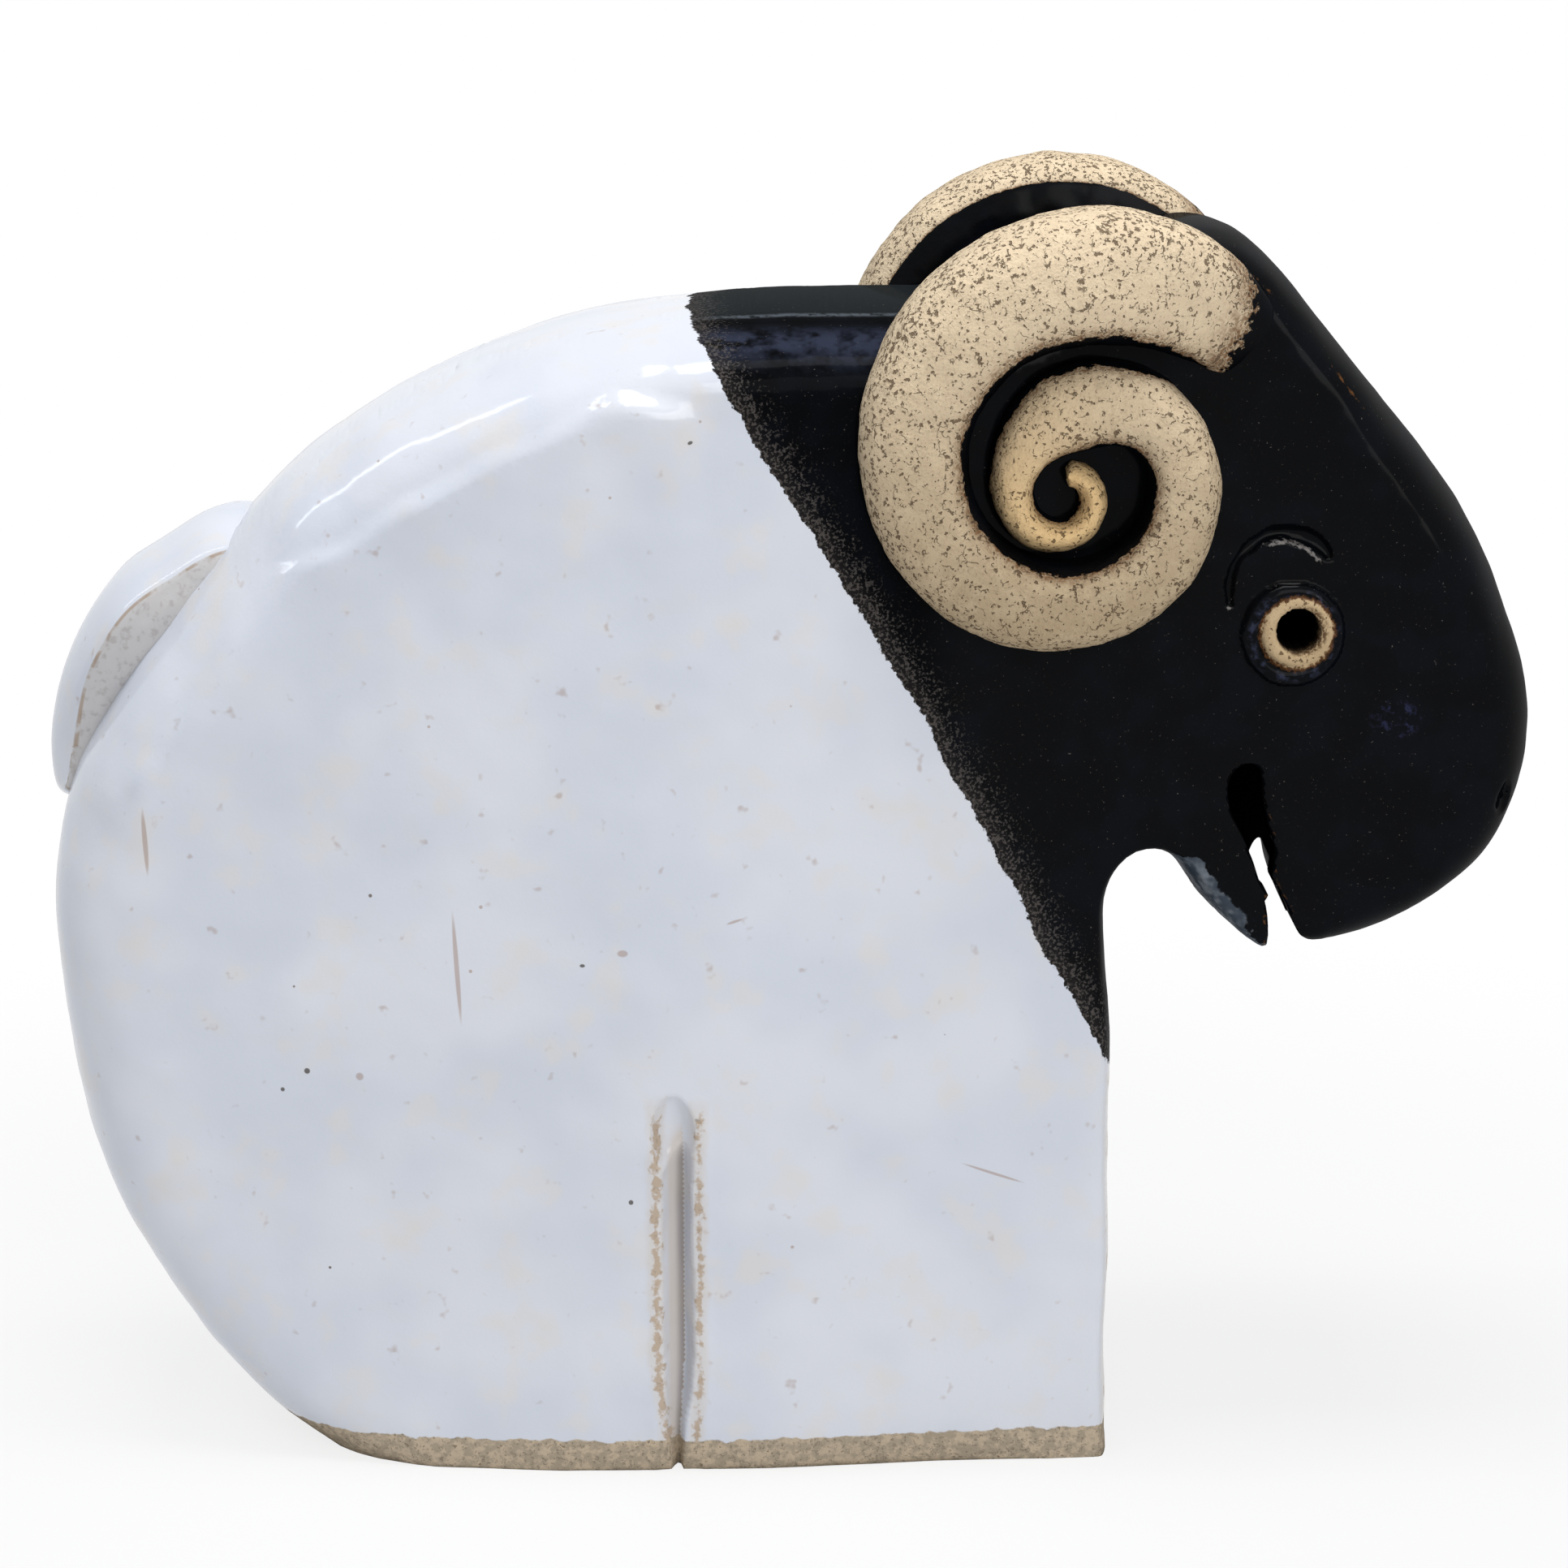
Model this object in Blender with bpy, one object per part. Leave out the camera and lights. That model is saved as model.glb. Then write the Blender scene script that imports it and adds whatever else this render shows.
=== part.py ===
"""Ram figurine: a hollow stoneware slab form with two coiled horns.

The ram stands on the plane z = 0 and looks along +X. Its body and head are one flat form, symmetric about
the plane y = 0: a side outline with cushioned edges. The tail, the horns and the eye rings are luted on,
and the mouth, the leg grooves, the brows, the pupils and the nostrils are cut in. The whole is one fired
piece.
"""

import math

import bmesh
import bpy
import numpy as np
from mathutils import Vector
from mathutils.geometry import delaunay_2d_cdt

MM = 0.001

# Slab: half thicknesses, the reach of the belly's swelling, and the clay wall
BODY_HALF_THICKNESS = 31 * MM
HEAD_HALF_THICKNESS = 22 * MM
BELLY_CENTRE = (-17.4 * MM, 60 * MM)
BELLY_REACH_X = 48 * MM
BELLY_REACH_Z = 95 * MM
WALL = 5.5 * MM
EDGE_POWER = 2.5
LEAST_CAVITY_ROLL = 2 * MM
CAVITY_KEPT_SHARE = 0.97

# Side outline, anticlockwise from below the front of the foot: x, z and the roll of the edge there, in mm.
# It runs below z = 0, where the base plane cuts it flat.
CHEST = ((39.8, -9, 2), (39.9, 14, 2), (39.7, 40, 2), (39.6, 52, 2), (38.8, 63, 2))
CHIN_ARCH = ((38.7, 69.4, 2), (40.3, 73.1, 2), (42.9, 74.5, 2.2), (46.0, 73.3, 2.8))
JAW = ((49.5, 68.3, 3.5), (53.5, 64.2, 3.8), (58.4, 62.1, 4.5))
MUZZLE = (
    (65.1, 62.1, 6), (72.2, 63.8, 7), (79.2, 67.6, 7),
    (84.8, 72.4, 8), (88.0, 78.6, 8), (89.6, 86.1, 8),
)
FACE = (
    (89.1, 94.5, 8), (85.7, 104.4, 8), (80.9, 114.5, 8),
    (73.7, 124.2, 7), (65.7, 133.9, 6), (56.9, 144.1, 5),
)
CROWN = (
    (51.1, 147.6, 5), (44.1, 147.0, 5), (34.6, 142.0, 4),
    (22.6, 139.4, 3.5), (8.6, 139.2, 3), (-1.4, 139.0, 3),
)
BACK = ((-12.9, 138.0, 6), (-26.4, 135.7, 10), (-42.7, 129.5, 12), (-55.1, 122.0, 13), (-65.5, 112.1, 13))
RUMP = ((-76.9, 97.5, 13), (-85.7, 82.5, 14), (-88.8, 67.9, 14), (-87.8, 51.1, 14), (-84.7, 35.2, 14))
HAUNCH = (
    (-78.3, 21.7, 14), (-68.7, 7.8, 13), (-59.2, -0.7, 12),
    (-48.4, -6.6, 12), (-35.4, -9, 12), (26.6, -9, 12),
)
OUTLINE = CHEST + CHIN_ARCH + JAW + MUZZLE + FACE + CROWN + BACK + RUMP + HAUNCH

# Tail: a pinched wedge of clay laid on the rump, in mm as above
TAIL_OUTLINE = (
    (-59.9, 110.0, 6), (-63.9, 113.2, 8), (-68.9, 112.9, 9), (-74.2, 109.9, 9),
    (-81.2, 104.8, 9), (-87.0, 95.3, 9), (-89.6, 85.5, 9), (-88.7, 78.2, 6),
    (-83.4, 79.0, 4), (-74.9, 91.0, 4), (-63.4, 104.5, 4),
)
TAIL_HALF_THICKNESS = 15 * MM
TAIL_EDGE_POWER = 1.5

# Horns: a coil that narrows from root to tip, raised from the sides of the head
HORN_CENTRE = (33.8 * MM, 120.8 * MM)
HORN_START = math.radians(25)
HORN_SWEEP = math.radians(748)
HORN_ROOT_RADIUS = 24.1 * MM
HORN_TIP_RADIUS = 0.108 * HORN_ROOT_RADIUS
HORN_RADIUS_POWER = 1.65
HORN_RADIUS_EASE = 1.15
HORN_DRIFT = (-0.05 * HORN_ROOT_RADIUS, -0.125 * HORN_ROOT_RADIUS)
HORN_DRIFT_START = 0.45
HORN_DRIFT_SPAN = 0.3
HORN_ROOT_WIDTH = 0.722 * HORN_ROOT_RADIUS
HORN_TIP_WIDTH = 0.116 * HORN_ROOT_RADIUS
HORN_WIDTH_POWER = 1.8
HORN_SWELL = 0.162 * HORN_ROOT_RADIUS
HORN_SWELL_SHARE = 0.568
HORN_SWELL_SPAN = 0.07
HORN_SWELL_INWARD = 0.14
HORN_END_NARROWING = 0.6
HORN_TIP_SHARE = 0.015
HORN_ROOT_FACE = 35 * MM
HORN_TIP_FACE = 27.5 * MM
HORN_FACE_POWER = 1.5
HORN_FACE_SLOPE = 0.14
HORN_SEAT = 5 * MM
HORN_SECTION_POWER = 3
HORN_ROOT_SINK = 13.5 * MM
HORN_ROOT_SHARE = 0.09
HORN_TANGENT_STEP = 0.002
HORN_FAR_SHIFT = (-1.2 * MM, 3.4 * MM)

# Eyes: a raised lip round a bare clay ring, with a pupil poked through the wall
EYE_CENTRE = (59.8 * MM, 101.9 * MM)
EYE_LIP_RADIUS = 5.1 * MM
EYE_LIP_THICKNESS = 2.3 * MM
EYE_RING_RADIUS = 3.2 * MM
EYE_RING_THICKNESS = 2.1 * MM
EYE_RING_RAISE = 0.3 * MM
PUPIL_RADIUS = 2.5 * MM

# Brow cut: an arc scored above each eye
BROW_CENTRE = (58.0 * MM, 106.8 * MM)
BROW_RADIUS = 6.4 * MM
BROW_START = math.radians(38)
BROW_END = math.radians(195)
BROW_CUT_RADIUS = 0.8 * MM

# Mouth: a drop-shaped opening in the near cheek that runs out of the chin as a slot, x and z in mm
MOUTH_OUTLINE = (
    (57.4, 56.0), (57.2, 66.5), (56.4, 71.0), (55.4, 74.1), (53.8, 77.6),
    (52.4, 81.2), (52.8, 84.4), (54.7, 85.8), (56.3, 84.2), (57.0, 79.0),
    (57.9, 75.2), (58.6, 70.6), (59.9, 67.6), (63.1, 62.0), (64.1, 56.0),
)

# Far end of the mouth: the cut comes out low in the far cheek, as a short slot that runs out of the chin
FAR_MOUTH_OUTLINE = (
    (57.2, 56.0), (57.4, 61.0), (58.3, 64.4), (59.4, 66.8), (60.3, 67.6),
    (61.2, 66.9), (61.9, 64.6), (62.6, 61.0), (63.2, 56.0),
)
MOUTH_OVERLAP = 0.7 * MM

# Nostril: a short slanting dent near the tip of the muzzle
NOSTRIL_CENTRE = (85.2 * MM, 80.0 * MM)
NOSTRIL_LENGTH = 3.8 * MM
NOSTRIL_WIDTH = 1.4 * MM
NOSTRIL_TILT = math.radians(10)

# Leg grooves: one gouged up each side from the foot, ending in a spoon-shaped start
GROOVE_X = -12.8 * MM
GROOVE_TOP = 47.5 * MM
GROOVE_HALF_WIDTH = 2.7 * MM
GROOVE_FOOT_HALF_WIDTH = 1.7 * MM
GROOVE_DEPTH = 4.2 * MM
GROOVE_SPOON_LENGTH = 14 * MM
GROOVE_SECTION_POWER = 1.5
GROOVE_STEP_POWER = 1.6
GROOVE_DEPTH_POWER = 0.8
GROOVE_LEAST_SPOON = 0.02
GROOVE_END_SHARE = 0.25
GROOVE_END_POWER = 0.5

# Fineness of the facets
OUTLINE_PITCH = 4.4 * MM
FACE_PITCH = 9 * MM
CAVITY_PITCH = 9 * MM
CAVITY_FACE_PITCH = 14.4 * MM
TAIL_PITCH = 2.8 * MM
TAIL_FACE_PITCH = 4.5 * MM
MOUTH_PITCH = 3 * MM
EDGE_RINGS = 6
CAVITY_EDGE_RINGS = 3
LEAST_RING_STEP = 0.45 * MM
RING_KEPT_SHARE = 0.9
HORN_STEPS = 62
HORN_SIDES = 16
GROOVE_STEPS = 16
GROOVE_SIDES = 12
BROW_STEPS = 12
EYE_RING_SIDES = 28
EYE_RING_TUBE_SIDES = 8
PUPIL_SIDES = 24
NOSTRIL_SIDES = 12
NOSTRIL_ROWS = 8
SHARP_ANGLE = math.radians(40)

CUT_MARGIN = 4 * MM
BASE_BLOCK_SIZE = 400 * MM
WELD_DISTANCE = 0.002 * MM
CURVE_WELD_DISTANCE = 0.01 * MM
ON_OUTLINE = 0.001 * MM
SAME_SPOT = 0.0001 * MM

CLAY_COLOUR = (0.60, 0.63, 0.68, 1.0)
CLAY_ROUGHNESS = 0.2


def smooth_loop(points, pitch):
    """Sample a closed Catmull-Rom curve through points, about one sample every pitch."""
    points = np.asarray(points, float)
    samples = []
    for index in range(len(points)):
        before, start, end, after = (points[(index + step) % len(points)] for step in (-1, 0, 1, 2))
        count = max(1, round(np.linalg.norm((end - start)[:2]) / pitch))
        for t in np.arange(count) / count:
            samples.append(0.5 * (
                2 * start
                + (end - before) * t
                + (2 * before - 5 * start + 4 * end - after) * t ** 2
                + (3 * start - before - 3 * end + after) * t ** 3
            ))
    return np.array(samples)


def inward_normals(loop):
    """Unit normals that point into an anticlockwise loop of x, z points."""
    along = np.roll(loop, -1, axis=0) - np.roll(loop, 1, axis=0)
    normals = np.stack([-along[:, 1], along[:, 0]], axis=1)
    return normals / np.linalg.norm(normals, axis=1)[:, None]


def nearest_on_loop(loop, points):
    """Distance from each point to a loop of x, z, roll rows, and the roll where it is nearest."""
    start = loop[None, :, :2]
    along = np.roll(loop, -1, axis=0)[None, :, :2] - start
    reach = points[:, None, :] - start
    share = np.clip((reach * along).sum(axis=2) / (along ** 2).sum(axis=2), 0, 1)
    distance = np.linalg.norm(reach - share[:, :, None] * along, axis=2)
    nearest = distance.argmin(axis=1)
    rows = np.arange(len(points))
    roll_start = loop[nearest, 2]
    roll_end = np.roll(loop[:, 2], -1)[nearest]
    roll = roll_start + (roll_end - roll_start) * share[rows, nearest]
    return distance[rows, nearest], roll


def inside_loop(loop, points):
    """Whether each x, z point lies inside the loop, by counting the edges that a ray along +X crosses."""
    start = loop[None, :, :2]
    end = np.roll(loop, -1, axis=0)[None, :, :2]
    x, z = points[:, None, 0], points[:, None, 1]
    spans = (start[..., 1] > z) != (end[..., 1] > z)
    rise = np.where(spans, end[..., 1] - start[..., 1], 1)
    crossing = start[..., 0] + (z - start[..., 1]) * (end[..., 0] - start[..., 0]) / rise
    return (spans & (crossing > x)).sum(axis=1) % 2 == 1


def inset_loop(loop, depth):
    """Move a loop inwards by depth, without the samples that come too near another stretch of it."""
    moved = loop.copy()
    moved[:, :2] += inward_normals(loop[:, :2]) * depth
    distance, _ = nearest_on_loop(loop, moved[:, :2])
    moved = moved[distance > CAVITY_KEPT_SHARE * depth]
    moved[:, 2] = np.maximum(moved[:, 2] - depth, LEAST_CAVITY_ROLL)
    return moved


def slab_half_thickness(points):
    """Half the slab's thickness at each x, z point: a thin head and a swelling belly."""
    away_x = (points[:, 0] - BELLY_CENTRE[0]) / BELLY_REACH_X
    away_z = (points[:, 1] - BELLY_CENTRE[1]) / BELLY_REACH_Z
    swelling = np.exp(-away_x ** 2 - away_z ** 2)
    return HEAD_HALF_THICKNESS + (BODY_HALF_THICKNESS - HEAD_HALF_THICKNESS) * swelling


def edge_profile(inset, power):
    """Share of the full thickness at an inset of 0 to 1 across the edge's roll."""
    return (1 - (1 - np.clip(inset, 0, 1)) ** power) ** (1 / power)


def new_object(name, mesh, collection):
    """Wrap a mesh in an object of the given collection."""
    item = bpy.data.objects.new(name, mesh)
    collection.objects.link(item)
    return item


def cushion(name, loop, half_thickness, power, rings, pitch, collection):
    """Inflate an outline to both sides of y = 0, with its edge rolled as the loop's third column says."""
    angles = np.linspace(0, math.pi / 2, rings + 1)[1:]
    insets = 1 - np.cos(angles) ** (2 / power)
    normals = inward_normals(loop[:, :2])
    spots = [Vector(point[:2]) for point in loop]
    outline_edges = [(index, (index + 1) % len(loop)) for index in range(len(loop))]
    for point, normal in zip(loop, normals):
        last = 0
        for inset in insets * point[2]:
            if inset - last < LEAST_RING_STEP:
                continue
            last = inset
            spot = point[:2] + normal * inset
            if nearest_on_loop(loop, spot[None])[0][0] > RING_KEPT_SHARE * inset:
                spots.append(Vector(spot))
    low, high = loop[:, :2].min(axis=0), loop[:, :2].max(axis=0)
    for row, z in enumerate(np.arange(low[1], high[1], pitch * math.sqrt(3) / 2)):
        line = np.array([(x, z) for x in np.arange(low[0] + pitch * (row % 2) / 2, high[0], pitch)])
        distance, roll = nearest_on_loop(loop, line)
        keep = inside_loop(loop, line) & (distance > roll + pitch / 2)
        spots.extend(Vector(spot) for spot in line[keep])
    flat_spots, _, triangles, *_ = delaunay_2d_cdt(spots, outline_edges, [], 1, SAME_SPOT)

    flat = np.array([tuple(spot) for spot in flat_spots])
    distance, roll = nearest_on_loop(loop, flat)
    height = half_thickness(flat) * edge_profile(distance / roll, power)
    height[distance < ON_OUTLINE] = 0
    built = bmesh.new()
    near = [built.verts.new((x, -y, z)) for (x, z), y in zip(flat, height)]
    far = [
        vertex if y == 0 else built.verts.new((x, y, z))
        for vertex, (x, z), y in zip(near, flat, height)]
    for corners in triangles:
        if all(height[corner] == 0 for corner in corners):
            continue
        built.faces.new([near[corner] for corner in corners])
        built.faces.new([far[corner] for corner in reversed(corners)])
    bmesh.ops.recalc_face_normals(built, faces=built.faces)
    mesh = bpy.data.meshes.new(name)
    built.to_mesh(mesh)
    built.free()
    return new_object(name, mesh, collection)


def loft(name, sections, collection):
    """Join closed sections of equally many points into one capped tube."""
    built = bmesh.new()
    loops = [[built.verts.new(point) for point in section] for section in sections]
    for loop, following in zip(loops, loops[1:]):
        for side in range(len(loop)):
            after = (side + 1) % len(loop)
            built.faces.new((loop[side], loop[after], following[after], following[side]))
    built.faces.new(reversed(loops[0]))
    built.faces.new(loops[-1])
    bmesh.ops.recalc_face_normals(built, faces=built.faces)
    mesh = bpy.data.meshes.new(name)
    built.to_mesh(mesh)
    built.free()
    return new_object(name, mesh, collection)


def super_circle(sides, power):
    """Points of a unit superellipse: an oval for a power of 2, nearer a rectangle above it."""
    points = []
    for side in range(sides):
        angle = math.tau * (side + 0.5) / sides
        across, up = math.cos(angle), math.sin(angle)
        points.append((
            math.copysign(abs(across) ** (2 / power), across),
            math.copysign(abs(up) ** (2 / power), up),
        ))
    return points


def ease(share):
    """Smooth step from 0 to 1."""
    share = min(max(share, 0), 1)
    return share * share * (3 - 2 * share)


def horn_swell(share):
    """Extra width of the coil at the top of its second turn."""
    return HORN_SWELL * math.exp(-((share - HORN_SWELL_SHARE) / HORN_SWELL_SPAN) ** 2)


def horn_spine(share):
    """Centre line of the coil at a share of its length, as x and z."""
    angle = HORN_START + HORN_SWEEP * share
    radius = HORN_TIP_RADIUS + (HORN_ROOT_RADIUS - HORN_TIP_RADIUS) * (
        1 - share ** HORN_RADIUS_EASE) ** HORN_RADIUS_POWER - HORN_SWELL_INWARD * horn_swell(share)
    drift = ease((share - HORN_DRIFT_START) / HORN_DRIFT_SPAN)
    return np.array([
        HORN_CENTRE[0] + HORN_DRIFT[0] * drift + radius * math.cos(angle),
        HORN_CENTRE[1] + HORN_DRIFT[1] * drift + radius * math.sin(angle),
    ])


def horn_width(share):
    """Width of the coil, rounded off at its root and tip."""
    width = HORN_TIP_WIDTH + (HORN_ROOT_WIDTH - HORN_TIP_WIDTH) * (1 - share) ** HORN_WIDTH_POWER
    root_end = 1 - HORN_END_NARROWING * max(1 - share / HORN_ROOT_SHARE, 0) ** 2
    tip_end = 1 - HORN_END_NARROWING * max((share - 1) / HORN_TIP_SHARE + 1, 0) ** 2
    return (width + horn_swell(share)) * root_end * tip_end


def horn(side, collection):
    """Coiled horn on one side of the head, -1 near and +1 far."""
    profile = super_circle(HORN_SIDES, HORN_SECTION_POWER)
    seat = HEAD_HALF_THICKNESS - HORN_SEAT
    shift = np.array(HORN_FAR_SHIFT if side > 0 else (0, 0))
    sections = []
    for step in range(HORN_STEPS + 1):
        share = step / HORN_STEPS
        middle = horn_spine(share) + shift
        after = horn_spine(min(share + HORN_TANGENT_STEP, 1))
        along = after - horn_spine(max(share - HORN_TANGENT_STEP, 0))
        across = np.array([along[1], -along[0]]) / np.linalg.norm(along)
        half_width = horn_width(share) / 2
        face = HORN_ROOT_FACE + (HORN_TIP_FACE - HORN_ROOT_FACE) * share ** HORN_FACE_POWER
        face -= HORN_ROOT_SINK * max(1 - share / HORN_ROOT_SHARE, 0) ** 2
        half_height = (face - seat) / 2
        section = []
        for out, up in profile:
            x, z = middle + across * out * half_width
            slope = HORN_FACE_SLOPE * half_width * (1 + out) / 2
            section.append((x, side * (seat + (half_height - slope) * (1 + up)), z))
        sections.append(section)
    return loft(f"horn_{'far' if side > 0 else 'near'}", sections, collection)


def face_height(loop, x, z):
    """Distance of the slab's surface from y = 0 at one place."""
    spot = np.array([[x, z]])
    distance, roll = nearest_on_loop(loop, spot)
    return float(slab_half_thickness(spot)[0] * edge_profile(distance / roll, EDGE_POWER)[0])


def eye_ring(name, radius, thickness, side, height, collection):
    """Ring of clay that lies half sunk in the cheek."""
    bpy.ops.mesh.primitive_torus_add(
        major_radius=radius, minor_radius=thickness / 2,
        major_segments=EYE_RING_SIDES, minor_segments=EYE_RING_TUBE_SIDES,
        location=(EYE_CENTRE[0], side * height, EYE_CENTRE[1]), rotation=(math.pi / 2, 0, 0))
    return adopt(bpy.context.object, name, collection)


def adopt(item, name, collection):
    """Name an object that an operator made, and move it to a collection."""
    item.name = name
    for holder in list(item.users_collection):
        holder.objects.unlink(item)
    collection.objects.link(item)
    return item


def curve_to_mesh(item, name, collection):
    """Replace a curve object with a closed mesh object."""
    evaluated = item.evaluated_get(bpy.context.evaluated_depsgraph_get())
    mesh = bpy.data.meshes.new_from_object(evaluated)
    built = bmesh.new()
    built.from_mesh(mesh)
    bmesh.ops.remove_doubles(built, verts=built.verts, dist=CURVE_WELD_DISTANCE)
    bmesh.ops.recalc_face_normals(built, faces=built.faces)
    built.to_mesh(mesh)
    built.free()
    solid = new_object(name, mesh, collection)
    solid.matrix_world = item.matrix_world.copy()
    bpy.data.objects.remove(item)
    return solid


def poly_curve(name, points, closed, dimensions):
    """Curve object with one straight-segment spline through points."""
    curve = bpy.data.curves.new(name, "CURVE")
    curve.dimensions = dimensions
    spline = curve.splines.new("POLY")
    spline.points.add(len(points) - 1)
    for point, target in zip(points, spline.points):
        target.co = (*point, 1)
    spline.use_cyclic_u = closed
    item = bpy.data.objects.new(name, curve)
    bpy.context.scene.collection.objects.link(item)
    return item


def mouth_cutter(name, outline, start, end, collection):
    """One half of the mouth: its outline, extruded along y from start to end."""
    loop = smooth_loop(np.array(outline) * MM, MOUTH_PITCH)
    item = poly_curve(f"{name}_curve", [(x, z, 0) for x, z in loop], True, "2D")
    item.data.fill_mode = "BOTH"
    item.data.extrude = (end - start) / 2
    item.location = (0, (start + end) / 2, 0)
    item.rotation_euler = (math.pi / 2, 0, 0)
    bpy.context.view_layer.update()
    return curve_to_mesh(item, name, collection)


def brow_cutter(loop, side, collection):
    """Scored arc above an eye, as a thin tube that follows the cheek."""
    points = []
    for step in range(BROW_STEPS + 1):
        angle = BROW_START + (BROW_END - BROW_START) * step / BROW_STEPS
        x = BROW_CENTRE[0] + BROW_RADIUS * math.cos(angle)
        z = BROW_CENTRE[1] + BROW_RADIUS * math.sin(angle)
        points.append((x, side * face_height(loop, x, z), z))
    item = poly_curve("brow_curve", points, False, "3D")
    item.data.bevel_depth = BROW_CUT_RADIUS
    item.data.bevel_resolution = 1
    item.data.use_fill_caps = True
    bpy.context.view_layer.update()
    return curve_to_mesh(item, f"brow_cut_{'far' if side > 0 else 'near'}", collection)


def groove_cutter(loop, side, collection):
    """Gouge between the legs on one side, deepest in its middle and shallow at its spoon-shaped start."""
    profile = super_circle(GROOVE_SIDES, GROOVE_SECTION_POWER)
    bottom = -CUT_MARGIN
    sections = []
    for step in range(GROOVE_STEPS + 1):
        share = step / GROOVE_STEPS
        z = bottom + (GROOVE_TOP - bottom) * (1 - (1 - share) ** GROOVE_STEP_POWER)
        height = face_height(loop, GROOVE_X, max(z, 0))
        spoon = max((GROOVE_TOP - z) / GROOVE_SPOON_LENGTH, GROOVE_LEAST_SPOON)
        depth = GROOVE_DEPTH * min(spoon, 1) ** GROOVE_DEPTH_POWER
        to_foot = ease((GROOVE_TOP - GROOVE_SPOON_LENGTH - z) / (GROOVE_TOP - GROOVE_SPOON_LENGTH))
        half_width = GROOVE_HALF_WIDTH + (GROOVE_FOOT_HALF_WIDTH - GROOVE_HALF_WIDTH) * to_foot
        half_width *= min(spoon / GROOVE_END_SHARE, 1) ** GROOVE_END_POWER
        sections.append([
            (GROOVE_X + out * half_width, side * (height + up * depth), z) for out, up in profile])
    return loft(f"groove_cut_{'far' if side > 0 else 'near'}", sections, collection)


def pupil_cutter(collection):
    """Rod that pokes both pupils through the walls of the hollow head."""
    half_length = HEAD_HALF_THICKNESS + EYE_LIP_THICKNESS + CUT_MARGIN
    bpy.ops.mesh.primitive_cylinder_add(
        vertices=PUPIL_SIDES, radius=PUPIL_RADIUS, depth=2 * half_length,
        location=(EYE_CENTRE[0], 0, EYE_CENTRE[1]), rotation=(math.pi / 2, 0, 0))
    return adopt(bpy.context.object, "pupil_cut", collection)


def nostril_cutter(loop, side, collection):
    """Small slanting dent near the tip of the muzzle."""
    x, z = NOSTRIL_CENTRE
    bpy.ops.mesh.primitive_uv_sphere_add(
        segments=NOSTRIL_SIDES, ring_count=NOSTRIL_ROWS, radius=1 / 2,
        location=(x, side * face_height(loop, x, z), z),
        rotation=(0, NOSTRIL_TILT, 0), scale=(NOSTRIL_WIDTH, NOSTRIL_LENGTH, NOSTRIL_LENGTH))
    return adopt(bpy.context.object, f"nostril_cut_{'far' if side > 0 else 'near'}", collection)


def base_cutter(name, top, collection):
    """Block that cuts away everything below a level."""
    bpy.ops.mesh.primitive_cube_add(size=BASE_BLOCK_SIZE, location=(0, 0, top - BASE_BLOCK_SIZE / 2))
    return adopt(bpy.context.object, name, collection)


def boolean(target, tool, operation):
    """Add one exact Boolean modifier."""
    modifier = target.modifiers.new(tool.name, "BOOLEAN")
    modifier.operation = operation
    modifier.solver = "EXACT"
    modifier.object = tool


def weld(target):
    """Close the hairline edges that a Boolean can leave."""
    modifier = target.modifiers.new("weld", "WELD")
    modifier.merge_threshold = WELD_DISTANCE


def clay():
    """Plain glazed stoneware."""
    material = bpy.data.materials.new("glazed_stoneware")
    material.use_nodes = True
    shader = material.node_tree.nodes["Principled BSDF"]
    shader.inputs["Base Color"].default_value = CLAY_COLOUR
    shader.inputs["Roughness"].default_value = CLAY_ROUGHNESS
    shader.inputs["Metallic"].default_value = 0
    return material


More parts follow.
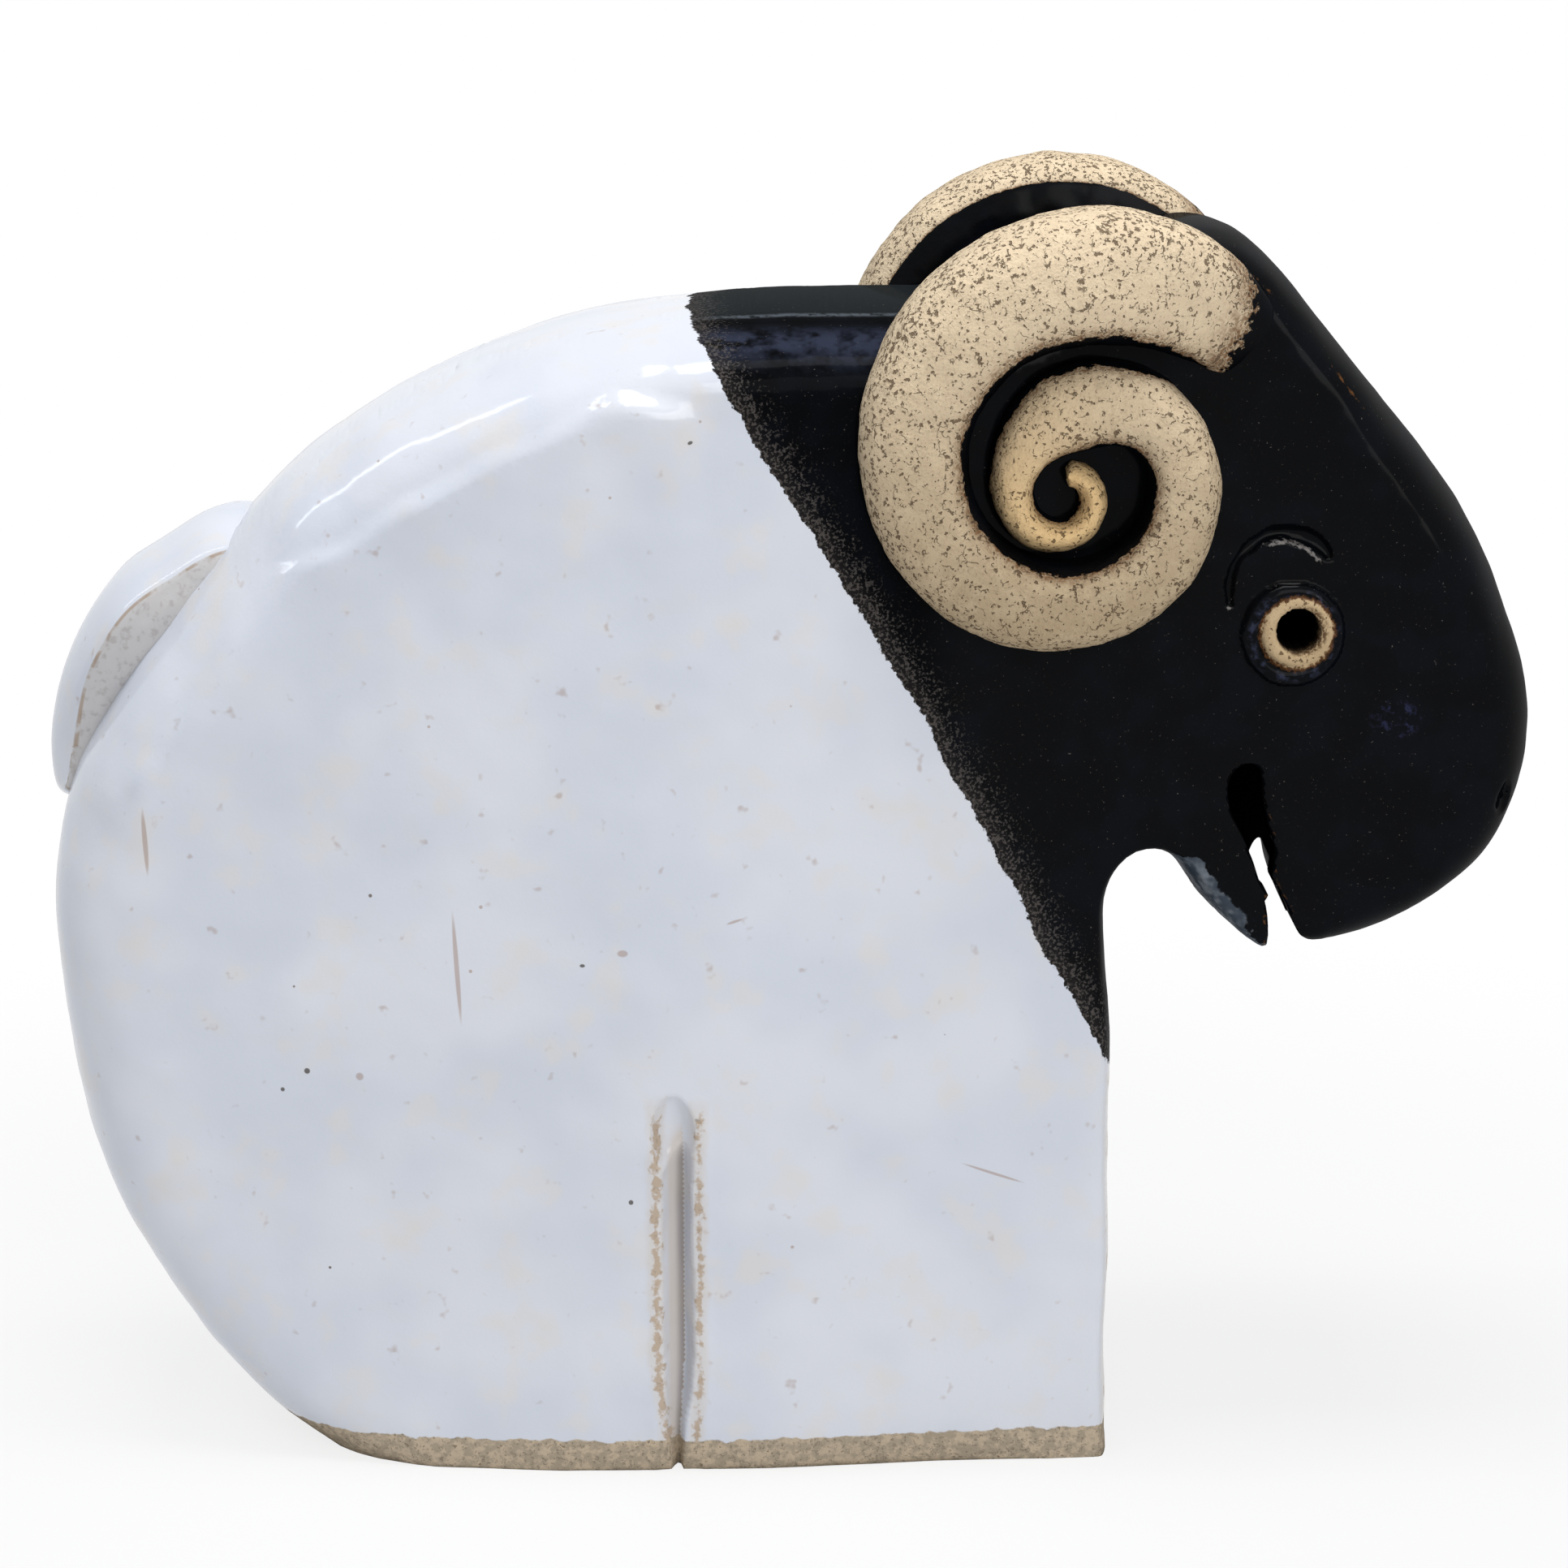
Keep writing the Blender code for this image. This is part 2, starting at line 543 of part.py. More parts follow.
def build():
    """Make the ram and the shapes that are joined to it or cut from it."""
    for item in list(bpy.data.objects):
        bpy.data.objects.remove(item)
    figurine = bpy.data.collections.new("ram_figurine")
    tools = bpy.data.collections.new("cutters")
    for collection in (figurine, tools):
        bpy.context.scene.collection.children.link(collection)

    loop = smooth_loop(np.array(OUTLINE) * MM, OUTLINE_PITCH)
    ram = cushion("ram", loop, slab_half_thickness, EDGE_POWER, EDGE_RINGS, FACE_PITCH, figurine)
    ram.data.materials.append(clay())

    cavity_loop = inset_loop(smooth_loop(np.array(OUTLINE) * MM, CAVITY_PITCH), WALL)
    cavity = cushion(
        "cavity", cavity_loop, lambda points: slab_half_thickness(points) - WALL,
        EDGE_POWER, CAVITY_EDGE_RINGS, CAVITY_FACE_PITCH, tools)
    boolean(cavity, base_cutter("cavity_floor", WALL, tools), "DIFFERENCE")

    tail_loop = smooth_loop(np.array(TAIL_OUTLINE) * MM, TAIL_PITCH)
    tail = cushion(
        "tail", tail_loop, lambda points: np.full(len(points), TAIL_HALF_THICKNESS),
        TAIL_EDGE_POWER, EDGE_RINGS, TAIL_FACE_PITCH, tools)
    joined = [tail]
    outside = BODY_HALF_THICKNESS + CUT_MARGIN
    near_mouth = mouth_cutter("near_mouth_cut", MOUTH_OUTLINE, -outside, MOUTH_OVERLAP, tools)
    far_mouth = mouth_cutter("far_mouth_cut", FAR_MOUTH_OUTLINE, -MOUTH_OVERLAP, outside, tools)
    cuts = [base_cutter("base_cut", 0, tools), cavity, near_mouth, far_mouth, pupil_cutter(tools)]
    cheek = face_height(loop, *EYE_CENTRE)
    for side in (-1, 1):
        place = "far" if side > 0 else "near"
        joined.append(horn(side, tools))
        joined.append(eye_ring(f"eye_lip_{place}", EYE_LIP_RADIUS, EYE_LIP_THICKNESS, side, cheek, tools))
        raised = cheek + EYE_RING_RAISE
        joined.append(eye_ring(f"eye_ring_{place}", EYE_RING_RADIUS, EYE_RING_THICKNESS, side, raised, tools))
        cuts.append(groove_cutter(loop, side, tools))
        cuts.append(brow_cutter(loop, side, tools))
        cuts.append(nostril_cutter(loop, side, tools))
    for tool in joined:
        boolean(ram, tool, "UNION")
        weld(ram)
    for tool in cuts:
        boolean(ram, tool, "DIFFERENCE")
        weld(ram)
    for tool in tools.objects:
        tool.hide_render = True
        tool.display_type = "WIRE"

    for mesh in (ram.data, *(tool.data for tool in tools.objects)):
        mesh.shade_smooth()
        mesh.set_sharp_from_angle(angle=SHARP_ANGLE)


build()
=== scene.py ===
"""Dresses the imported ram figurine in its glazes, its raw clay and its handmade unevenness.

Measures are millimetres until a mesh is placed. The ram looks along +X, and its near side is -Y. The body
with the head, the tail and the two horns are modelled here in a finer form, and together they stand for the
CAD node "ram", which is one fired piece.
"""

import logging
import math
from dataclasses import dataclass
from enum import Enum

import bmesh
import bpy
import numpy as np
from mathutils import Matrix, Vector
from mathutils.geometry import delaunay_2d_cdt

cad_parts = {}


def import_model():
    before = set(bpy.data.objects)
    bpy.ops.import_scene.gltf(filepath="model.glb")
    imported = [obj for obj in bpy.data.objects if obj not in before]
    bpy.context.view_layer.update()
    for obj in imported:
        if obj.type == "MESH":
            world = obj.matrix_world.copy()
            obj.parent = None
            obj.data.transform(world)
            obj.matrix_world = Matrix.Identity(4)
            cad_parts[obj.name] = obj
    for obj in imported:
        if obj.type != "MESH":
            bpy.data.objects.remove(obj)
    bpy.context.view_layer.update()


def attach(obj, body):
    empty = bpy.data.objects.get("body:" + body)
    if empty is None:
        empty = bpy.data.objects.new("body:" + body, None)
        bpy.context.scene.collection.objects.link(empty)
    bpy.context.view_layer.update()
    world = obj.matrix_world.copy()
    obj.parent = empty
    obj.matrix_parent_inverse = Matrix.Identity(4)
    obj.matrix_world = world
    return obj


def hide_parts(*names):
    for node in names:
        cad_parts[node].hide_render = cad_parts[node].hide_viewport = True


MM = 0.001
NODE = "ram"
BODY = "root"
LOG = logging.getLogger("ram_scene")

Points = np.ndarray
Colour = tuple[float, float, float, float]


class Side(Enum):
    """Side of the ram, as the sign of y."""

    NEAR = -1
    FAR = 1


class Fineness(Enum):
    """Spacing of the mesh's points, in millimetres."""

    PLAIN = 1.15
    EDGE = 0.9
    DETAIL = 0.42


def smooth_rise(low: float, high: float, value: Points) -> Points:
    """Rise smoothly from 0 at low to 1 at high."""
    share = np.clip((value - low) / (high - low), 0, 1)
    return share * share * (3 - 2 * share)


def paint(red: int, green: int, blue: int) -> Colour:
    """Linear colour of a paint given by its screen values from 0 to 255.

    Args:
        red: Red.
        green: Green.
        blue: Blue.

    Returns:
        The colour, with full cover.
    """
    def linear(value: int) -> float:
        share = value / 255
        return share / 12.92 if share <= 0.04045 else ((share + 0.055) / 1.055) ** 2.4

    return linear(red), linear(green), linear(blue), 1.0


@dataclass(frozen=True)
class Unevenness:
    """Smooth random heights over a plane, as a hand leaves them in clay.

    Attributes:
        size: Width of a lump.
        seed: Choice of the pattern.
    """

    size: float
    seed: int
    lattice: int = 64

    def heights(self, across: Points, up: Points) -> Points:
        """Heights of about -1 to 1.

        Args:
            across: First coordinate of each spot.
            up: Second coordinate of each spot.

        Returns:
            One height for each spot.
        """
        grid = np.random.default_rng(self.seed).uniform(-1, 1, (self.lattice, self.lattice))
        u, v = np.asarray(across) / self.size, np.asarray(up) / self.size
        column, row = np.floor(u).astype(int), np.floor(v).astype(int)
        right, top = smooth_rise(0, 1, u - column), smooth_rise(0, 1, v - row)

        def corner(step_u: int, step_v: int) -> Points:
            return grid[(column + step_u) % self.lattice, (row + step_v) % self.lattice]

        low = corner(0, 0) * (1 - right) + corner(1, 0) * right
        high = corner(0, 1) * (1 - right) + corner(1, 1) * right
        return low * (1 - top) + high * top


@dataclass(frozen=True)
class Outline:
    """Closed outline of a slab of clay, anticlockwise, as rows of x, z and the roll of the edge there.

    Attributes:
        rows: Points that the outline passes through.
        sharp_roll: Roll below which the outline is sampled finely.
    """

    rows: tuple[tuple[float, float, float], ...]
    sharp_roll: float = 1.6

    def samples(self) -> Points:
        """Rows of x, z and roll along a smooth curve through the points.

        Returns:
            The rows.
        """
        points = np.array(self.rows, float)
        count = len(points)
        found = []
        for index in range(count):
            before, start, end, after = (points[(index + step) % count] for step in (-1, 0, 1, 2))
            fine = max(start[2], end[2]) < self.sharp_roll
            pitch = Fineness.DETAIL.value if fine else Fineness.EDGE.value
            pieces = max(1, round(float(np.linalg.norm((end - start)[:2])) / pitch))
            for t in np.arange(pieces) / pieces:
                found.append(0.5 * (
                    2 * start
                    + (end - before) * t
                    + (2 * before - 5 * start + 4 * end - after) * t ** 2
                    + (3 * start - before - 3 * end + after) * t ** 3
                ))
        return np.array(found)

    @staticmethod
    def inward(loop: Points) -> Points:
        """Unit normals that point into the loop.

        Args:
            loop: Rows of x and z round the outline.

        Returns:
            One a row.
        """
        along = np.roll(loop[:, :2], -1, axis=0) - np.roll(loop[:, :2], 1, axis=0)
        normals = np.stack([-along[:, 1], along[:, 0]], axis=1)
        return normals / np.linalg.norm(normals, axis=1)[:, None]

    @staticmethod
    def nearest(loop: Points, spots: Points, batch: int = 3000) -> tuple[Points, Points, Points]:
        """Distance of spots from the loop.

        Args:
            loop: Rows of x, z and roll.
            spots: Rows of x and z.
            batch: How many spots are measured at once.

        Returns:
            The distance of each spot, the roll at its nearest place, and the length along the loop there.
        """
        start = loop[None, :, :2]
        along = np.roll(loop, -1, axis=0)[None, :, :2] - start
        squares = (along ** 2).sum(axis=2)
        lengths = np.sqrt(squares[0])
        before = np.concatenate([[0], np.cumsum(lengths)[:-1]])
        next_roll = np.roll(loop[:, 2], -1)
        found = []
        for first in range(0, len(spots), batch):
            reach = spots[first:first + batch, None, :] - start
            share = np.clip((reach * along).sum(axis=2) / squares, 0, 1)
            gaps = np.linalg.norm(reach - share[:, :, None] * along, axis=2)
            best = gaps.argmin(axis=1)
            lines = np.arange(len(best))
            part = share[lines, best]
            roll = loop[best, 2] + (next_roll[best] - loop[best, 2]) * part
            found.append(np.stack([gaps[lines, best], roll, before[best] + lengths[best] * part]))
        distance, roll, length = np.concatenate(found, axis=1)
        return distance, roll, length

    @staticmethod
    def holds(loop: Points, spots: Points) -> Points:
        """Whether each spot lies inside the loop.

        Args:
            loop: Rows of x and z round the outline.
            spots: Rows of x and z.

        Returns:
            One answer a spot.
        """
        start = loop[None, :, :2]
        end = np.roll(loop, -1, axis=0)[None, :, :2]
        x, z = spots[:, None, 0], spots[:, None, 1]
        spans = (start[..., 1] > z) != (end[..., 1] > z)
        rise = np.where(spans, end[..., 1] - start[..., 1], 1)
        crossing = start[..., 0] + (z - start[..., 1]) * (end[..., 0] - start[..., 0]) / rise
        return (spans & (crossing > x)).sum(axis=1) % 2 == 1


@dataclass(frozen=True)
class Patch:
    """Rectangle of a face that needs close points, by its middle, its half sizes and its spacing."""

    x: float
    z: float
    half_x: float
    half_z: float
    pitch: float = Fineness.DETAIL.value

    def covers(self, spots: Points) -> Points:
        """Whether each spot lies in the rectangle."""
        return (np.abs(spots[:, 0] - self.x) < self.half_x) & (np.abs(spots[:, 1] - self.z) < self.half_z)


class Workbench:
    """Plain moves of modelling by hand that every piece needs."""

    @staticmethod
    def edit(item: bpy.types.Object) -> None:
        """Open a mesh for editing, with all of it selected.

        Args:
            item: The mesh's object.
        """
        bpy.context.view_layer.objects.active = item
        bpy.ops.object.mode_set(mode="EDIT")
        bpy.ops.mesh.select_all(action="SELECT")

    @staticmethod
    def close() -> None:
        """Leave edit mode."""
        bpy.ops.object.mode_set(mode="OBJECT")

    @staticmethod
    def apply(item: bpy.types.Object, kind: str, **settings: object) -> None:
        """Add a modifier with these settings and apply it.

        Args:
            item: The mesh's object.
            kind: Type of the modifier.
            settings: Its settings by name.
        """
        modifier = item.modifiers.new(kind.lower(), kind)
        for name, value in settings.items():
            setattr(modifier, name, value)
        bpy.context.view_layer.objects.active = item
        bpy.ops.object.modifier_apply(modifier=modifier.name)

    @classmethod
    def rough_up(cls, item: bpy.types.Object, lump: float, strength: float, depth: int = 1) -> None:
        """Push the surface in and out by a cloudy pattern.

        Args:
            item: Piece to change.
            lump: Width of a lump.
            strength: Whole travel from the lowest to the highest place.
            depth: How many finer patterns are laid over it.
        """
        clouds = bpy.data.textures.new(f"{item.name}_lumps", "CLOUDS")
        clouds.noise_scale = lump * MM
        clouds.noise_depth = depth
        cls.apply(
            item, "DISPLACE", texture=clouds, texture_coords="LOCAL", strength=strength * MM, mid_level=0.5)

    @staticmethod
    def places(item: bpy.types.Object) -> Points:
        """Coordinates of a mesh's points, in millimetres.

        Args:
            item: The mesh's object.

        Returns:
            One row a point.
        """
        flat = np.empty(len(item.data.vertices) * 3)
        item.data.vertices.foreach_get("co", flat)
        return flat.reshape(-1, 3) / MM

    @staticmethod
    def place(item: bpy.types.Object, places: Points) -> None:
        """Move a mesh's points to these coordinates, in millimetres."""
        item.data.vertices.foreach_set("co", (places * MM).ravel())
        item.data.update()

    @staticmethod
    def mark(item: bpy.types.Object, name: str, values: Points) -> None:
        """Store one number for each point, for the finish to read."""
        attribute = item.data.attributes.new(name, "FLOAT", "POINT")
        attribute.data.foreach_set("value", np.asarray(values, np.float32))

    @staticmethod
    def settle(item: bpy.types.Object, finish: bpy.types.Material, slot: str) -> None:
        """Give a finished piece its finish, let it ride on the ram's body and stand for its node.

        Args:
            item: The piece.
            finish: Its material.
            slot: Not used.
        """
        item.data.materials.clear()
        item.data.materials.append(finish)
        item.data.shade_smooth()
        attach(item, BODY)
        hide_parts(NODE)
        triangles = sum(len(face.vertices) - 2 for face in item.data.polygons)
        LOG.info("%s: %d triangles", item.name, triangles)


@dataclass
class Cushion:
    """Slab of clay: an outline that swells to both sides, with its edge rolled over.

    Attributes:
        name: Name of the piece.
        outline: Side outline.
        power: How square the rolled edge is: 2 is a round.
        rings: Rows of points round the roll.
        pitch: Spacing of the points on the plain face.
        patches: Places with close points.
    """

    name: str
    outline: Outline
    power: float = 2.5
    rings: int = 11
    pitch: float = Fineness.PLAIN.value
    patches: tuple[Patch, ...] = ()
    least_ring_gap: float = 0.16

    def half_thickness(self, spots: Points) -> Points:
        """Half the slab's thickness at each spot."""
        raise NotImplementedError

    def roll_scale(self, length: Points) -> Points:
        """How much wider or narrower than planned the roll is at a length along the outline."""
        return np.ones_like(length)

    def face(self, distance: Points, roll: Points, length: Points, spots: Points) -> Points:
        """Height of the surface above the middle plane."""
        inset = np.clip(distance / (roll * self.roll_scale(length)), 0, 1)
        return self.half_thickness(spots) * (1 - (1 - inset) ** self.power) ** (1 / self.power)

    def fill(self, loop: Points) -> Points:
        """Spots inside the outline: rows round the edge, close rows in patches and a plain net elsewhere.

        Args:
            loop: Rows of x and z round the outline.

        Returns:
            The spots.
        """
        spots = []
        normals = Outline.inward(loop)
        angles = np.linspace(0, math.pi / 2, self.rings + 1)[1:]
        last = 0.0
        for inset in 1 - np.cos(angles) ** (2 / self.power):
            moved = loop[:, :2] + normals * (inset * loop[:, 2])[:, None]
            wide = inset * loop[:, 2] - last * loop[:, 2] > self.least_ring_gap
            distance, _, _ = Outline.nearest(loop, moved)
            spots.append(moved[wide & (distance > 0.93 * inset * loop[:, 2])])
            last = inset
        for patch in (*self.patches, None):
            pitch = patch.pitch if patch else self.pitch
            low, high = loop[:, :2].min(axis=0), loop[:, :2].max(axis=0)
            if patch:
                low = np.array([patch.x - patch.half_x, patch.z - patch.half_z])
                high = np.array([patch.x + patch.half_x, patch.z + patch.half_z])
            rows = np.arange(low[1], high[1], pitch * math.sqrt(3) / 2)
            net = np.array([
                (x + pitch * (number % 2) / 2, z)
                for number, z in enumerate(rows) for x in np.arange(low[0], high[0], pitch)])
            net = net[Outline.holds(loop, net)]
            distance, roll, _ = Outline.nearest(loop, net)
            if patch:
                keep = distance > pitch / 2
            else:
                keep = distance > roll + pitch / 2
                for other in self.patches:
                    keep &= ~other.covers(net)
            spots.append(net[keep])
        return np.concatenate(spots)

    def build(self) -> bpy.types.Object:
        """Model the slab: a ring is laid along the outline, filled, inflated and mirrored to the far side.

        Returns:
            The slab.
        """
        loop = self.outline.samples()
        bpy.ops.object.select_all(action="DESELECT")
        bpy.ops.mesh.primitive_circle_add(vertices=len(loop), fill_type="NOTHING")
        item = bpy.context.object
        item.name = item.data.name = self.name
        spots = [Vector(spot) for spot in np.concatenate([loop[:, :2], self.fill(loop)])]
        rim = [(index, (index + 1) % len(loop)) for index in range(len(loop))]
        flat, _, triangles, *_ = delaunay_2d_cdt(spots, rim, [], 1, 1e-6)
        flat = np.array([tuple(spot) for spot in flat])
        distance, roll, length = Outline.nearest(loop, flat)
        height = self.face(distance, roll, length, flat)
        height[distance < 1e-4] = 0

        Workbench.edit(item)
        shape = bmesh.from_edit_mesh(item.data)
        for extra in list(shape.verts):
            shape.verts.remove(extra)
        corners = [shape.verts.new((x * MM, -y * MM, z * MM)) for (x, z), y in zip(flat, height)]
        for triangle in triangles:
            if any(height[corner] > 0 for corner in triangle):
                shape.faces.new([corners[corner] for corner in triangle])
        bmesh.update_edit_mesh(item.data)
        Workbench.close()
        Workbench.apply(item, "MIRROR", use_axis=(False, True, False), merge_threshold=1e-6)
        Workbench.edit(item)
        bpy.ops.mesh.normals_make_consistent(inside=False)
        Workbench.close()
        return item


BODY_OUTLINE = Outline((
    (39.8, -9, 2), (39.9, 3, 2), (39.7, 14, 2), (39.9, 27, 2), (39.6, 40, 2), (39.7, 52, 2), (38.8, 63, 2),
    (38.7, 69.4, 2), (40.3, 73.1, 2), (42.9, 74.5, 2.2), (46.0, 73.3, 2.8), (49.5, 68.3, 3.2),
    (53.0, 65.0, 2.4), (55.4, 63.5, 1.5), (57.0, 62.8, 1.5), (60.5, 62.6, 3), (65.1, 62.1, 5.5),
    (72.2, 63.8, 7), (79.2, 67.6, 7), (84.8, 72.4, 8), (88.0, 78.6, 8), (89.6, 86.1, 8), (89.1, 94.5, 8),
    (85.7, 104.4, 8), (80.9, 114.5, 8), (73.7, 124.2, 7), (65.7, 133.9, 6), (56.9, 144.1, 5),
    (51.1, 147.6, 5), (44.1, 147.0, 5), (34.6, 142.0, 5), (22.6, 139.4, 8), (8.6, 139.2, 12),
    (-1.4, 139.0, 12), (-12.9, 138.0, 11), (-26.4, 135.7, 11), (-42.7, 129.5, 12), (-55.1, 122.0, 13),
    (-65.5, 112.1, 13), (-76.9, 97.5, 13), (-85.7, 82.5, 14), (-88.8, 67.9, 14), (-87.8, 51.1, 14),
    (-84.7, 35.2, 14), (-78.3, 21.7, 14), (-68.7, 7.8, 13), (-59.2, -0.7, 12), (-48.4, -6.6, 12),
    (-35.4, -9, 12), (26.6, -9, 12),
))


HOLLOW_OUTLINE = Outline((
    (34.3, 5.5, 4), (34.2, 14, 4), (34.0, 40, 4), (33.6, 52, 4), (33.2, 63, 4), (33.6, 72, 4),
    (37.0, 78.0, 4), (43.0, 80.0, 4), (49.5, 76.0, 4), (54.0, 69.5, 2), (57.5, 65.2, 2), (63.5, 65.6, 2.5),
    (71, 69.3, 5), (77, 72.5, 5), (81, 76.5, 5), (83.3, 81, 5), (84, 86, 5), (83.5, 93.5, 5),
    (80.3, 102, 5), (75.8, 111.5, 5), (69, 120.5, 5), (61, 130, 5), (53.5, 138.6, 5), (50, 141.8, 4),
    (44.5, 141.2, 4), (35.5, 136.4, 4), (22.6, 133.8, 4), (8.6, 133.6, 4), (-1.4, 133.4, 4),
    (-12.5, 132.4, 4), (-25.5, 130.0, 6), (-40.5, 124.2, 8), (-51.8, 117.2, 9), (-61.5, 108.0, 9),
    (-72.2, 94.4, 9), (-80.2, 80.7, 9), (-83.2, 67.5, 9), (-82.2, 51.8, 9), (-79.4, 37, 9),
    (-73.4, 24.5, 9), (-65.5, 13, 9), (-59, 6.5, 8), (-52, 5.5, 6), (-20, 5.5, 5), (20, 5.5, 5),
))

NEAR_MOUTH = Outline((
    (57.4, 56, 1), (57.4, 65.4, 1), (57.1, 68.5, 1), (56.9, 69.3, 1), (57.3, 70.0, 1), (56.5, 71.0, 1),
    (56.0, 72.3, 1), (55.4, 74.1, 1), (54.8, 75.5, 1), (53.9, 77.5, 1), (52.6, 80.1, 1), (52.2, 83.0, 1),
    (53.0, 85.0, 1), (54.7, 85.9, 1), (56.1, 84.9, 1), (56.5, 81.7, 1), (57.1, 78.8, 1), (57.8, 76.5, 1),
    (58.1, 75.3, 1), (57.8, 72.6, 1), (57.8, 71.6, 1), (58.7, 70.3, 1), (59.7, 68.3, 1), (60.7, 65.9, 1),
    (61.7, 64.7, 1), (63.6, 63.6, 1), (66.4, 62.6, 1), (70.0, 60.5, 1), (69.0, 56, 1),
))
FAR_MOUTH = Outline((
    (57.2, 56, 1), (57.6, 61, 1), (58.8, 64.4, 1), (60.1, 66.9, 1), (60.9, 67.7, 1), (61.6, 66.9, 1),
    (62.1, 64.6, 1), (62.6, 61, 1), (63.2, 56, 1),
))


@dataclass(frozen=True)
class Mouth:
    """Slot cut through the head: a drop and a slot in the near cheek, a short slot in the far one."""

    overlap: float = 0.7
    reach: float = 40.0
    softness: float = 1.0

    @staticmethod
    def outline(side: Side) -> Outline:
        """Outline of the cut in one cheek."""
        return NEAR_MOUTH if side is Side.NEAR else FAR_MOUTH

    def gap(self, spots: Points, side: Side) -> Points:
        """Distance of each spot from the cut, and 0 inside it.

        Args:
            spots: Rows of x and z.
            side: Which cheek.

        Returns:
            The distances.
        """
        loop = self.outline(side).samples()
        distance, _, _ = Outline.nearest(loop, spots)
        inside = np.zeros(len(spots), bool)
        for first in range(0, len(spots), 4000):
            inside[first:first + 4000] = Outline.holds(loop, spots[first:first + 4000])
        return np.where(inside, 0, distance)

    def relief(self, spots: Points, base: Points, side: Side) -> Points:
        """Round the rim of the cut in the heights of a face."""
        share = np.clip(1 - self.gap(spots, side) / self.softness, 0, 1)
        return base - self.softness * (1 - np.sqrt(1 - (0.94 * share) ** 2))

    def knife(self, side: Side) -> bpy.types.Object:
        """Solid that cuts one cheek.

        Args:
            side: Which cheek.

        Returns:
            The solid.
        """
        loop = self.outline(side).samples()
        bpy.ops.object.select_all(action="DESELECT")
        bpy.ops.mesh.primitive_circle_add(vertices=len(loop), fill_type="NGON")
        item = bpy.context.object
        start = -side.value * self.overlap
        Workbench.place(item, np.stack([loop[:, 0], np.full(len(loop), start), loop[:, 1]], axis=1))
        Workbench.edit(item)
        travel = side.value * (self.reach + self.overlap) * MM
        bpy.ops.mesh.extrude_region_move(TRANSFORM_OT_translate={"value": (0, travel, 0)})
        bpy.ops.mesh.select_all(action="SELECT")
        bpy.ops.mesh.normals_make_consistent(inside=False)
        Workbench.close()
        return item


@dataclass
class Hollow(Cushion):
    """Hollow inside the body, an even wall within it."""

    name: str = "hollow"
    outline: Outline = HOLLOW_OUTLINE
    rings: int = 5
    pitch: float = 4.0
    wall: float = 5.5
    least_ring_gap: float = 0.5

    def half_thickness(self, spots: Points) -> Points:
        """The body's half thickness less its wall."""
        return RamBody.swell(spots) - self.wall


@dataclass(frozen=True)
class Eye:
    """Eye of the ram: a raised lip, a bare clay ring inside it and a poked pupil."""

    x: float = 59.8
    z: float = 101.9
    lip_shift: tuple[float, float] = (-0.6, -0.5)
    lip_radius: float = 4.95
    lip_thickness: float = 1.2
    ring_shift: tuple[float, float] = (-0.2, -0.25)
    ring_radius: float = 3.3
    ring_thickness: float = 1.0
    ring_raise: float = 0.35
    pupil_radius: float = 2.45
    pupil_depth: float = 6.5

    def relief(self, spots: Points, base: Points) -> Points:
        """Add the eye to the heights of a face.

        Args:
            spots: Rows of x and z.
            base: Height of the face at each spot.

        Returns:
            The new heights.
        """
        radius = np.hypot(spots[:, 0] - self.x, spots[:, 1] - self.z)
        wobble = Unevenness(2.2, 5).heights(spots[:, 0], spots[:, 1]) * 0.12
        around = np.hypot(spots[:, 0] - self.x - self.lip_shift[0], spots[:, 1] - self.z - self.lip_shift[1])
        lip = np.sqrt(np.clip(self.lip_thickness ** 2 - (around + wobble - self.lip_radius) ** 2, 0, None))
        ring = np.sqrt(np.clip(self.ring_thickness ** 2 - (radius + wobble - self.ring_radius) ** 2, 0, None))
        ring = np.where(ring > 0, ring + self.ring_raise, 0)
        raised = base + np.maximum(lip, ring)
        floor = base - self.pupil_depth
        hole = smooth_rise(self.pupil_radius + 0.18, self.pupil_radius - 0.22, radius)
        return raised + (floor - raised) * hole


